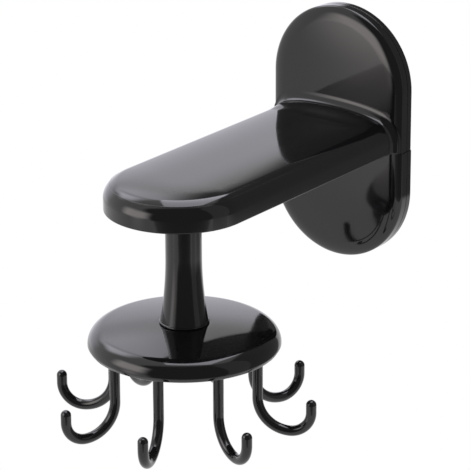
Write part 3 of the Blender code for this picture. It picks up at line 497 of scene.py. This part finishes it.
def arm_skin():
    """The arm's wall, carried along one side, round the nose and back, flared where it meets the plate."""
    stations = arm_stations()
    plain = arm_section()
    right = [(distance, 0, section) for distance, section in stations]
    nose = [(NOSE_CENTRE, math.pi * step / NOSE_STEPS, plain) for step in range(NOSE_STEPS + 1)]
    left = [(distance, math.pi, section) for distance, section in reversed(stations)]
    rings = []
    for distance, heading, section in right + nose + left:
        ring = []
        for out, height in section:
            bulge = crown_rise(PLATE_HALF_WIDTH - out) if distance <= FILLET_END else 0
            ring.append((out * math.cos(heading), -distance - bulge - out * math.sin(heading), height))
        rings.append(ring)
    work = bmesh.new()
    rows = laid(work, rings, closed=False)
    work.faces.new(rows[0] + list(reversed(rows[-1])))
    return welded("arm_skin", work)


def wall_bracket(material):
    """The one moulding of the wall plate and the hollow arm."""
    piece = joined(plate_skin(), arm_skin())
    dressed(smoothed(piece), "wall_bracket", "bracket", material)


def rear_plate(material):
    """The plate behind the bracket's shell: its own band in the rim, a seat for the pad and two screw holes."""
    seat = PAD_INSET - SEAT_GAP
    rings = [plate_ring(seat, 0, PAD_SEAT), plate_ring(seat, 0, REAR_PLATE_BACK)]
    rings += rounded_rings(REAR_PLATE_ROUND, REAR_PLATE_BACK, 1)
    rings += list(reversed(rounded_rings(SEAM_ROUND, REAR_PLATE_FRONT, -1)))
    piece = skinned("rear_closing_plate", rings)
    hole = [
        (0, CUT_REACH),
        (REAR_HEAD_RADIUS, CUT_REACH),
        (REAR_HEAD_RADIUS, 0),
        (REAR_SHANK_RADIUS, -REAR_SHANK_RADIUS),
        (REAR_SHANK_RADIUS, -REAR_PLATE_FRONT),
        (0, -REAR_PLATE_FRONT),
    ]
    for node in ("rear_plate_screw_upper", "rear_plate_screw_lower"):
        low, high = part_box(node)
        cutter = turned("hole", hole, at=(0, 0), steps=SMALL_TURN_STEPS)
        turn = Matrix.Rotation(-math.pi / 2, 4, "X")
        cutter.data.transform(Matrix.Translation((0, high.y, (low.z + high.z) / 2)) @ turn)
        joined(piece, cutter, "DIFFERENCE")
    dressed(smoothed(piece), "rear_plate", "bracket", material)


def nose_outline(half_width, back):
    """The arm's underside seen from above."""
    nose = arc((0, -NOSE_CENTRE), half_width, 0, -math.pi, NOSE_STEPS)
    return [(half_width, -back)] + nose + [(-half_width, -back)]


def flat_plate(name, outline, holes, low, high, rounding):
    """A plate between two heights with softly rounded edges, and round holes through it."""
    curve = bpy.data.curves.new(name, "CURVE")
    curve.dimensions = "2D"
    curve.fill_mode = "BOTH"
    curve.extrude = (high - low) / 2 - rounding
    curve.bevel_depth = rounding
    curve.bevel_resolution = COVER_EDGE_STEPS
    curve.offset = -rounding
    loops = [outline]
    for centre, radius in holes:
        loops.append(arc(centre, radius, 0, 2 * math.pi * (1 - 1 / TURN_STEPS), TURN_STEPS - 1))
    for loop in loops:
        spline = curve.splines.new("POLY")
        spline.points.add(len(loop) - 1)
        for point, (x, y) in zip(spline.points, loop):
            point.co = (x, y, 0, 1)
        spline.use_cyclic_u = True
    source = placed(name, curve)
    source.location.z = (low + high) / 2
    bpy.context.view_layer.update()
    mesh = evaluated_mesh(source)
    mesh.transform(source.matrix_world)
    bpy.data.objects.remove(source, do_unlink=True)
    work = bmesh.new()
    work.from_mesh(mesh)
    bmesh.ops.remove_doubles(work, verts=work.verts, dist=WELD_DISTANCE)
    bmesh.ops.recalc_face_normals(work, faces=work.faces)
    work.to_mesh(mesh)
    work.free()
    return placed(name, mesh)


def arm_cover(material):
    """The plate under the arm, with its hub for the bush and its four screw holes."""
    half_width = (COVER_HIGH.x - COVER_LOW.x) / 2
    bore = BUSH_OUTER_RADIUS + SEAT_GAP
    holes = [(middle_of(node), COVER_HOLE_RADIUS) for node in COVER_SCREWS]
    holes.append(((0, AXIS_Y), bore))
    top = COVER_LOW.z + COVER_THICKNESS
    outline = nose_outline(half_width, -COVER_HIGH.y)
    piece = flat_plate("arm_underside_cover", outline, holes, COVER_LOW.z, top, COVER_EDGE_ROUND)
    middle = top - COVER_THICKNESS / 2
    hub = [(HUB_RADIUS, middle), (HUB_RADIUS, COVER_HIGH.z), (bore, COVER_HIGH.z), (bore, middle)]
    joined(piece, turned("hub", hub, ring=True))
    dressed(smoothed(piece), "arm_cover", "bracket", material)


def cross_cutter(radius, depth):
    """A tapered cross that cuts the drive into a screw's head, pointing down from height 0."""
    side = radius * DRIVE_WIDTH / 2
    arms = []
    for turn in (0, math.pi / 2):
        rings = []
        for share, height in ((1, depth), (1, 0), (DRIVE_TAPER, -depth)):
            half = radius * share
            corners = [(half, side), (-half, side), (-half, -side), (half, -side)]
            rings.append(
                [
                    (x * math.cos(turn) - y * math.sin(turn), x * math.sin(turn) + y * math.cos(turn), height)
                    for x, y in corners
                ]
            )
        arms.append(skinned("drive", rings))
    return joined(arms[0], arms[1])


def threaded(radius, start, stop, pitch, depth):
    """Profile points of a shank whose rings stand for its thread."""
    points = []
    for index in range(int(abs(start - stop) / pitch)):
        base = start - index * pitch
        points += [(radius - depth * inset, base - pitch * share) for share, inset in THREAD_SHAPE]
    return points


def screw(name, head, tip, thread, drive_radius, drive_depth, place):
    """A turned screw that faces down at a place, with a cross drive in its head and a thread down to its tip."""
    shank, start = head[-1]
    profile = head + threaded(shank, start, tip + shank, *thread) + [(0, tip)]
    piece = turned(name, profile, at=(0, 0), steps=SMALL_TURN_STEPS)
    smoothed(joined(piece, cross_cutter(drive_radius, drive_depth), "DIFFERENCE"))
    piece.data.transform(Matrix.Translation(place) @ Matrix.Rotation(math.pi, 4, "X"))
    return piece


def cover_screws(material):
    """Four countersunk screws under the arm, with cross drives."""
    radius = COVER_SCREW_RADIUS
    tip = COVER_SCREW_LOW.z - COVER_SCREW_HIGH.z
    corners = [(0, 0), (radius, 0), (radius, -COVER_SCREW_LAND), (COVER_SCREW_SHANK, -COVER_SCREW_HEAD)]
    head = softened(corners, EDGE_ROUND)
    drive, depth = COVER_SCREW_DRIVE
    for node in COVER_SCREWS:
        place = (*middle_of(node), COVER_SCREW_LOW.z)
        piece = screw(f"{node}_fine", head, tip, COVER_SCREW_THREAD, radius * drive, depth, place)
        dressed(piece, node, "bracket", material)


def clamp_screw(material):
    """The pan-head screw that pulls the disc to the post, seen from below."""
    radius = (CLAMP_SCREW_HIGH.x - CLAMP_SCREW_LOW.x) / 2
    tip = CLAMP_SCREW_LOW.z - CLAMP_SCREW_HIGH.z
    corners = [(0, 0), (radius, 0), (radius, -CLAMP_SCREW_HEAD), (CLAMP_SCREW_SHANK, -CLAMP_SCREW_HEAD)]
    head = softened(corners, CLAMP_SCREW_HEAD / 2)
    drive, depth = CLAMP_SCREW_DRIVE
    place = (0, AXIS_Y, CLAMP_SCREW_LOW.z)
    piece = screw("clamp_screw_fine", head, tip, CLAMP_SCREW_THREAD, radius * drive, depth, place)
    dressed(piece, "clamp_screw", "carousel", material)


def clamp_washer(material):
    """The steel washer under the clamp screw's head."""
    piece = washer("clamp_washer_fine", CLAMP_HOLE_RADIUS, CLAMP_WASHER_LOW, CLAMP_WASHER_HIGH)
    dressed(smoothed(piece), "clamp_washer", "carousel", material)


def bush_and_washer(material):
    """The flanged bush in the cover's hub and the thrust washer under it."""
    flange = (BUSH_HIGH.x - BUSH_LOW.x) / 2
    flange_bottom = BUSH_HIGH.z - BUSH_FLANGE
    corners = [
        (BUSH_INNER_RADIUS, BUSH_HIGH.z),
        (flange, BUSH_HIGH.z),
        (flange, flange_bottom),
        (BUSH_OUTER_RADIUS, flange_bottom),
        (BUSH_OUTER_RADIUS, BUSH_LOW.z),
        (BUSH_INNER_RADIUS, BUSH_LOW.z),
    ]
    bush = turned("pivot_bush_fine", softened(corners + [corners[0]], EDGE_ROUND))
    dressed(smoothed(bush), "pivot_bush", "bracket", material)
    thrust = washer("thrust_washer_fine", BUSH_INNER_RADIUS, THRUST_LOW, THRUST_HIGH)
    dressed(smoothed(thrust), "thrust_washer", "bracket", material)


def post(material):
    """The turned post: spindle, straight neck, flared foot with its lip, and spigot."""
    profile = [
        (0, POST_HIGH.z),
        (SPINDLE_RADIUS - POST_CHAMFER, POST_HIGH.z),
        (SPINDLE_RADIUS, POST_HIGH.z - POST_CHAMFER),
        (SPINDLE_RADIUS, POST_TOP),
    ]
    shoulder = [(SPINDLE_RADIUS, POST_TOP), (POST_RADIUS, POST_TOP), (POST_RADIUS, POST_TOP - POST_SHOULDER)]
    profile += softened(shoulder, POST_CHAMFER)
    bead_middle = POST_FOOT + POST_BEAD
    neck = POST_FOOT_RADIUS - POST_BEAD
    flare_top = POST_FOOT + POST_FLARE_HEIGHT
    for step in range(FLARE_STEPS + 1):
        share = step / FLARE_STEPS
        height = flare_top + (bead_middle + POST_BEAD - flare_top) * share
        profile.append((POST_RADIUS + (neck - POST_RADIUS) * share**2, height))
    profile += arc((neck, bead_middle), POST_BEAD, POST_BEAD_START, -math.pi / 2, BEAD_STEPS)
    profile += [(SPIGOT_RADIUS, POST_FOOT), (SPIGOT_RADIUS, POST_LOW.z), (0, POST_LOW.z)]
    piece = turned("post_turning", profile)
    dressed(smoothed(piece), "post", "carousel", material)


def dome_height(radius):
    """Height of the disc's spherical crown at a radius."""
    rise = math.sqrt(DISC_CROWN_RADIUS**2 - radius**2)
    return DISC_SEAT + rise - math.sqrt(DISC_CROWN_RADIUS**2 - DISC_SEAT_RADIUS**2)


def disc_cover(material):
    """The domed shell over the hooks."""
    rim_radius = DISC_RADIUS - DISC_RIM_RADIUS
    rim_angle = math.asin(rim_radius / (DISC_CROWN_RADIUS - DISC_RIM_RADIUS))
    dome_radius = DISC_CROWN_RADIUS * math.sin(rim_angle)
    rim_level = dome_height(dome_radius) - DISC_RIM_RADIUS * math.cos(rim_angle)
    profile = [(COLLAR_RADIUS, DISC_SEAT), (DISC_SEAT_RADIUS, DISC_SEAT)]
    for step in range(1, DOME_STEPS):
        radius = DISC_SEAT_RADIUS + (dome_radius - DISC_SEAT_RADIUS) * step / DOME_STEPS
        profile.append((radius, dome_height(radius)))
    rim_centre = (rim_radius, rim_level)
    profile += arc(rim_centre, DISC_RIM_RADIUS, math.pi / 2 - rim_angle, 0, RIM_STEPS)
    skirt_outer = DISC_RADIUS - DISC_TUCK
    skirt_inner = DISC_RADIUS - DISC_WALL
    skirt_bottom = DISC_LOW.z
    lip = [(DISC_RADIUS, rim_level), (skirt_outer, skirt_bottom), (skirt_inner, skirt_bottom)]
    profile += softened(lip + [(skirt_inner, rim_level)], DISC_LIP_ROUND)[1:]
    profile += arc(rim_centre, DISC_RIM_RADIUS - DISC_WALL, 0, math.pi / 2 - rim_angle, LIP_STEPS)
    collar_outer = COLLAR_RADIUS + COLLAR_WALL
    profile += [(collar_outer, DISC_SEAT - DISC_WALL), (collar_outer, POST_LOW.z), (COLLAR_RADIUS, POST_LOW.z)]
    piece = turned("disc_dome", profile, steps=DISC_STEPS, ring=True)
    dressed(smoothed(piece), "disc_cover", "carousel", material)


def hook_heading(index):
    """The direction from the axis to a hook's stem."""
    return FIRST_HOOK_HEADING + 2 * math.pi * index / HOOK_COUNT


def on_hook_circle(index):
    """Where a hook's stem stands."""
    heading = hook_heading(index)
    return HOOK_CIRCLE_RADIUS * math.sin(heading), AXIS_Y - HOOK_CIRCLE_RADIUS * math.cos(heading)


def hook_plate(material):
    """The plate under the disc, with a collared socket for every hook and a pocket for the clamp screw."""
    low = HOOK_PLATE_LOW.z
    bottom = low + SOCKET_COLLAR_DROP
    top = bottom + HOOK_PLATE_THICKNESS
    roof = CLAMP_WASHER_HIGH.z + SEAT_GAP
    corners = [
        (CLAMP_HOLE_RADIUS, HOOK_PLATE_HIGH.z),
        (CLAMP_BOSS_RADIUS, HOOK_PLATE_HIGH.z),
        (CLAMP_BOSS_RADIUS, top),
        (HOOK_PLATE_RADIUS, top),
        (HOOK_PLATE_RADIUS, bottom),
        (CLAMP_POCKET_RADIUS, bottom),
        (CLAMP_POCKET_RADIUS, roof),
        (CLAMP_HOLE_RADIUS, roof),
    ]
    piece = turned("hook_carrier", softened(corners + [corners[0]], EDGE_ROUND), steps=DISC_STEPS)
    middle = bottom + HOOK_PLATE_THICKNESS / 2
    outer = SOCKET_COLLAR_RADIUS
    collar = softened([(0, middle), (outer, middle), (outer, low), (0, low)], EDGE_ROUND)
    bore = HOOK_WIRE_RADIUS + SEAT_GAP
    socket = [(0, top + CUT_REACH), (bore, top + CUT_REACH), (bore, low - CUT_REACH), (0, low - CUT_REACH)]
    for index in range(HOOK_COUNT):
        place = on_hook_circle(index)
        joined(piece, turned("collar", collar, at=place, steps=SMALL_TURN_STEPS))
        joined(piece, turned("socket", socket, at=place, steps=SMALL_TURN_STEPS), "DIFFERENCE")
    dressed(smoothed(piece), "hook_plate", "carousel", material)


def hook_route():
    """The middle line of a hook as (distance out, height, rod radius), from its head to its tip."""
    stem_end = HOOK_BOTTOM + HOOK_INNER_RADIUS
    inner_centre = (HOOK_INNER_RADIUS, stem_end)
    outer_centre = (HOOK_INNER_RADIUS, HOOK_BOTTOM + HOOK_OUTER_RADIUS)
    line = [(0, HOOK_TOP + (stem_end - HOOK_TOP) * step / HOOK_STEM_STEPS) for step in range(HOOK_STEM_STEPS)]
    line += arc(inner_centre, HOOK_INNER_RADIUS, math.pi, 1.5 * math.pi, INNER_BEND_STEPS)
    line += arc(outer_centre, HOOK_OUTER_RADIUS, 1.5 * math.pi, 2 * math.pi, OUTER_BEND_STEPS)[1:]
    route = [(out, height, HOOK_WIRE_RADIUS) for out, height in line]
    tip_out = HOOK_INNER_RADIUS + HOOK_OUTER_RADIUS
    tip_height = HOOK_BOTTOM + HOOK_OUTER_RADIUS + HOOK_TIP_RISE
    for step in range(TIP_STEPS):
        angle = math.pi / 2 * step / TIP_STEPS
        height = tip_height + HOOK_WIRE_RADIUS * math.sin(angle)
        route.append((tip_out, height, HOOK_WIRE_RADIUS * math.cos(angle)))
    return route


def hooks(material):
    """Eight round J-hooks with rounded tips."""
    route = hook_route()
    turns = [2 * math.pi * corner / HOOK_SIDES for corner in range(HOOK_SIDES)]
    for index in range(HOOK_COUNT):
        x, y = on_hook_circle(index)
        heading = hook_heading(index) + HOOK_TURN
        across = Vector((math.cos(heading), math.sin(heading), 0))
        out = Vector((math.sin(heading), -math.cos(heading), 0))
        rings = []
        for step, (distance, height, radius) in enumerate(route):
            before = route[max(step - 1, 0)]
            after = route[min(step + 1, len(route) - 1)]
            along = out * (after[0] - before[0]) + Vector((0, 0, after[1] - before[1]))
            side = along.normalized().cross(across)
            centre = Vector((x, y, height)) + out * distance
            rings.append([centre + radius * (across * math.cos(turn) + side * math.sin(turn)) for turn in turns])
        piece = skinned(f"hook_rod_{index + 1}", rings)
        dressed(smoothed(piece), f"hook_{index + 1}", "carousel", material)


def adhesive_pad(material):
    """The foam pad, with a softly crowned edge."""
    half_width = (PAD_HIGH.x - PAD_LOW.x) / 2
    half_height = (PAD_HIGH.z - PAD_LOW.z) / 2
    rise = half_height - half_width
    rounding = (PAD_HIGH.y - PAD_LOW.y) / 2
    rings = []
    for step in range(-LIP_STEPS, LIP_STEPS + 1):
        angle = math.pi / 2 * step / LIP_STEPS
        width = half_width - rounding * (1 - math.cos(angle))
        top = arc((0, rise), width, 0, math.pi, END_ARC_STEPS)
        bottom = arc((0, -rise), width, math.pi, 2 * math.pi, END_ARC_STEPS)
        distance = PAD_HIGH.y - rounding + rounding * math.sin(angle)
        rings.append([(across, distance, height) for across, height in top + bottom])
    piece = skinned("foam_pad", rings)
    dressed(smoothed(piece), "adhesive_pad", "bracket", material)


def node_material(name):
    """A new material with its node tree and its shader."""
    material = bpy.data.materials.new(name)
    material.use_nodes = True
    tree = material.node_tree
    return material, tree, tree.nodes["Principled BSDF"]


def math_node(tree, operation):
    """A node that works with one or two values."""
    node = tree.nodes.new("ShaderNodeMath")
    node.operation = operation
    return node


def textured(tree, kind, scale):
    """A texture node of a kind and scale, on object coordinates."""
    coordinates = tree.nodes.new("ShaderNodeTexCoord")
    texture = tree.nodes.new(kind)
    texture.inputs["Scale"].default_value = scale
    tree.links.new(coordinates.outputs["Object"], texture.inputs["Vector"])
    return texture


def noise(tree, scale, detail):
    """The value of a noise texture."""
    texture = textured(tree, "ShaderNodeTexNoise", scale)
    texture.inputs["Detail"].default_value = detail
    return texture.outputs["Fac"]


def roughened(tree, shader, source, low, high):
    """Let a texture's value spread the roughness between two values."""
    spread = tree.nodes.new("ShaderNodeMapRange")
    spread.inputs["From Min"].default_value = NOISE_LOW
    spread.inputs["From Max"].default_value = NOISE_HIGH
    spread.inputs["To Min"].default_value = low
    spread.inputs["To Max"].default_value = high
    tree.links.new(source, spread.inputs["Value"])
    tree.links.new(spread.outputs["Result"], shader.inputs["Roughness"])


def tinted(tree, shader, source, tints):
    """Let a texture's value blend the colour between two tints."""
    blend = tree.nodes.new("ShaderNodeMix")
    blend.data_type = "RGBA"
    blend.inputs["A"].default_value, blend.inputs["B"].default_value = tints
    tree.links.new(source, blend.inputs["Factor"])
    tree.links.new(blend.outputs["Result"], shader.inputs["Base Color"])


def bumped(tree, shader, source, distance, strength):
    """A bump from a texture's value."""
    bump = tree.nodes.new("ShaderNodeBump")
    bump.inputs["Distance"].default_value = distance
    bump.inputs["Strength"].default_value = strength
    tree.links.new(source, bump.inputs["Height"])
    tree.links.new(bump.outputs["Normal"], shader.inputs["Normal"])


def gloss_plastic():
    """High-gloss black moulded plastic: nearly a mirror, with slight haze."""
    material, tree, shader = node_material("gloss_black_plastic")
    shader.inputs["Base Color"].default_value = GLOSS_BLACK
    shader.inputs["IOR"].default_value = GLOSS_IOR
    roughened(tree, shader, noise(tree, scale=160.0, detail=4.0), low=0.05, high=0.09)
    return material


def satin_plastic():
    """The hidden mouldings' plainer black plastic, with a fine grain."""
    material, tree, shader = node_material("satin_black_plastic")
    shader.inputs["Base Color"].default_value = SATIN_BLACK
    grain = noise(tree, scale=1400.0, detail=3.0)
    roughened(tree, shader, grain, low=0.22, high=0.34)
    bumped(tree, shader, grain, distance=0.02 * MM, strength=0.5)
    return material


def zinc_steel():
    """Zinc-plated steel with a faint brushed haze."""
    material, tree, shader = node_material("zinc_plated_steel")
    shader.inputs["Base Color"].default_value = ZINC
    shader.inputs["Metallic"].default_value = 1.0
    haze = noise(tree, scale=900.0, detail=3.0)
    roughened(tree, shader, haze, low=0.24, high=0.4)
    bumped(tree, shader, haze, distance=0.01 * MM, strength=0.6)
    return material


def natural_nylon():
    """Natural nylon, waxy and slightly mottled."""
    material, tree, shader = node_material("natural_nylon")
    mottle = noise(tree, scale=500.0, detail=3.0)
    tinted(tree, shader, mottle, NYLON_TINTS)
    roughened(tree, shader, mottle, low=0.38, high=0.5)
    return material


def adhesive_foam():
    """Grey acrylic foam: fine cells and no gloss."""
    material, tree, shader = node_material("adhesive_foam")
    tinted(tree, shader, noise(tree, scale=220.0, detail=4.0), FOAM_TINTS)
    shader.inputs["Roughness"].default_value = FOAM_ROUGHNESS
    cells = textured(tree, "ShaderNodeTexVoronoi", FOAM_CELL_SCALE)
    bumped(tree, shader, cells.outputs["Distance"], distance=0.08 * MM, strength=0.7)
    return material


def carried_over(material):
    """The finish of the hidden pieces that stay as the frame has them."""
    for node in ("rear_plate_screw_upper", "rear_plate_screw_lower", "retaining_washer", "spindle_screw"):
        piece = frame["nodes"][node]
        piece.data.materials.clear()
        piece.data.materials.append(material)


def camera():
    """The photograph's camera."""
    data = bpy.data.cameras.new("camera")
    data.lens = CAMERA_LENS
    data.sensor_width = CAMERA_SENSOR
    data.clip_end = CAMERA_REACH
    item = placed("camera", data)
    turn = Matrix((CAMERA_RIGHT, CAMERA_UP, CAMERA_BACK)).transposed().to_4x4()
    item.matrix_world = Matrix.Translation(CAMERA_PLACE) @ turn
    bpy.context.scene.camera = item


def world():
    """Plain white light from all round."""
    item = bpy.data.worlds.new("studio")
    item.use_nodes = True
    item.node_tree.nodes["Background"].inputs["Color"].default_value = NEUTRAL
    bpy.context.scene.world = item


def quad(name, centre, across, up):
    """A flat card, with its texture coordinates running from corner to corner."""
    work = bmesh.new()
    corners = [work.verts.new(centre + across * x + up * y) for x, y in ((-1, -1), (1, -1), (1, 1), (-1, 1))]
    face = work.faces.new(corners)
    layer = work.loops.layers.uv.new("card")
    for loop, place in zip(face.loops, ((0, 0), (1, 0), (1, 1), (0, 1))):
        loop[layer].uv = place
    return formed(name, work)


def mixed(tree, factor, first, second):
    """Let a material's surface go from one shader to another by a factor."""
    mix = tree.nodes.new("ShaderNodeMixShader")
    tree.links.new(factor, mix.inputs["Fac"])
    tree.links.new(first, mix.inputs[1])
    tree.links.new(second, mix.inputs[2])
    tree.links.new(mix.outputs["Shader"], tree.nodes["Material Output"].inputs["Surface"])


def floor():
    """The pale floor far under the rack, white to the camera and in reflections."""
    along_x, along_y = Vector((FLOOR_SIZE, 0, 0)), Vector((0, FLOOR_SIZE, 0))
    piece = quad("stage_floor", Vector((0, 0, FLOOR_LEVEL)), along_x, along_y)
    material, tree, paint = node_material("pale_floor")
    paint.inputs["Base Color"].default_value = FLOOR_COLOUR
    paint.inputs["Roughness"].default_value = FLOOR_ROUGHNESS
    white = tree.nodes.new("ShaderNodeEmission")
    path = tree.nodes.new("ShaderNodeLightPath")
    seen = path.outputs["Is Camera Ray"]
    for ray in ("Is Glossy Ray", "Is Transmission Ray"):
        either = math_node(tree, "MAXIMUM")
        tree.links.new(seen, either.inputs[0])
        tree.links.new(path.outputs[ray], either.inputs[1])
        seen = either.outputs["Value"]
    mixed(tree, seen, paint.outputs["BSDF"], white.outputs["Emission"])
    piece.data.materials.append(material)


def card_material(name, level, colour, softness):
    """A glowing card that fades to nothing towards its edges."""
    material, tree, shader = node_material(name)
    tree.nodes.remove(shader)
    glow = tree.nodes.new("ShaderNodeEmission")
    glow.inputs["Color"].default_value = colour
    glow.inputs["Strength"].default_value = level
    clear = tree.nodes.new("ShaderNodeBsdfTransparent")
    place = tree.nodes.new("ShaderNodeTexCoord")
    split = tree.nodes.new("ShaderNodeSeparateXYZ")
    tree.links.new(place.outputs["UV"], split.inputs["Vector"])
    both = math_node(tree, "MULTIPLY")
    for index, axis in enumerate(("X", "Y")):
        wave = math_node(tree, "PINGPONG")
        wave.inputs[1].default_value = 0.5
        tree.links.new(split.outputs[axis], wave.inputs[0])
        fade = tree.nodes.new("ShaderNodeMapRange")
        fade.interpolation_type = "SMOOTHSTEP"
        fade.inputs["From Max"].default_value = softness / 2
        tree.links.new(wave.outputs["Value"], fade.inputs["Value"])
        tree.links.new(fade.outputs["Result"], both.inputs[index])
    mixed(tree, both.outputs["Value"], clear.outputs["BSDF"], glow.outputs["Emission"])
    return material


def reflected_only(piece, level, colour, softness):
    """Give a card its glow and hide it from everything but reflections."""
    piece.data.materials.append(card_material(piece.name, level, colour, softness))
    piece.visible_camera = False
    piece.visible_diffuse = False
    piece.visible_shadow = False


def overhead():
    """The softbox over the rack, its long sides nearly along the camera's line of sight."""
    right = Vector((math.cos(OVERHEAD_TURN), math.sin(OVERHEAD_TURN), 0)) * OVERHEAD_HEIGHT
    away = Vector((-math.sin(OVERHEAD_TURN), math.cos(OVERHEAD_TURN), 0)) * OVERHEAD_HEIGHT
    (left_end, right_end), (near_end, far_end) = OVERHEAD_REACH
    centre = STUDIO_CENTRE + Vector((0, 0, OVERHEAD_HEIGHT))
    centre += right * (left_end + right_end) / 2 + away * (near_end + far_end) / 2
    across, up = right * (right_end - left_end) / 2, away * (far_end - near_end) / 2
    piece = quad("stage_overhead_softbox", centre, across, up)
    reflected_only(piece, OVERHEAD_BRIGHTNESS, COOL, OVERHEAD_FADE)


def cards():
    """The studio's other softboxes and its flags."""
    for name, heading, rise, width, height, distance, level, colour, softness in CARDS:
        turn = math.radians(heading)
        tilt = math.radians(rise)
        towards = Vector((math.sin(turn) * math.cos(tilt), -math.cos(turn) * math.cos(tilt), math.sin(tilt)))
        across = Vector((math.cos(turn), math.sin(turn), 0))
        up = towards.cross(across).normalized() * -1
        half_width = distance * math.tan(math.radians(width / 2))
        half_height = distance * math.tan(math.radians(height / 2))
        piece = quad(name, STUDIO_CENTRE + towards * distance, across * half_width, up * half_height)
        reflected_only(piece, level, colour, softness)


def build():
    """Everything in the scene."""
    camera()
    world()
    floor()
    overhead()
    cards()
    bpy.context.scene.view_settings.view_transform = "Standard"
    gloss = gloss_plastic()
    satin = satin_plastic()
    steel = zinc_steel()
    wall_bracket(gloss)
    rear_plate(gloss)
    arm_cover(satin)
    cover_screws(steel)
    bush_and_washer(natural_nylon())
    post(gloss)
    disc_cover(gloss)
    hook_plate(satin)
    hooks(gloss)
    clamp_washer(steel)
    clamp_screw(steel)
    adhesive_pad(adhesive_foam())
    carried_over(steel)


build()
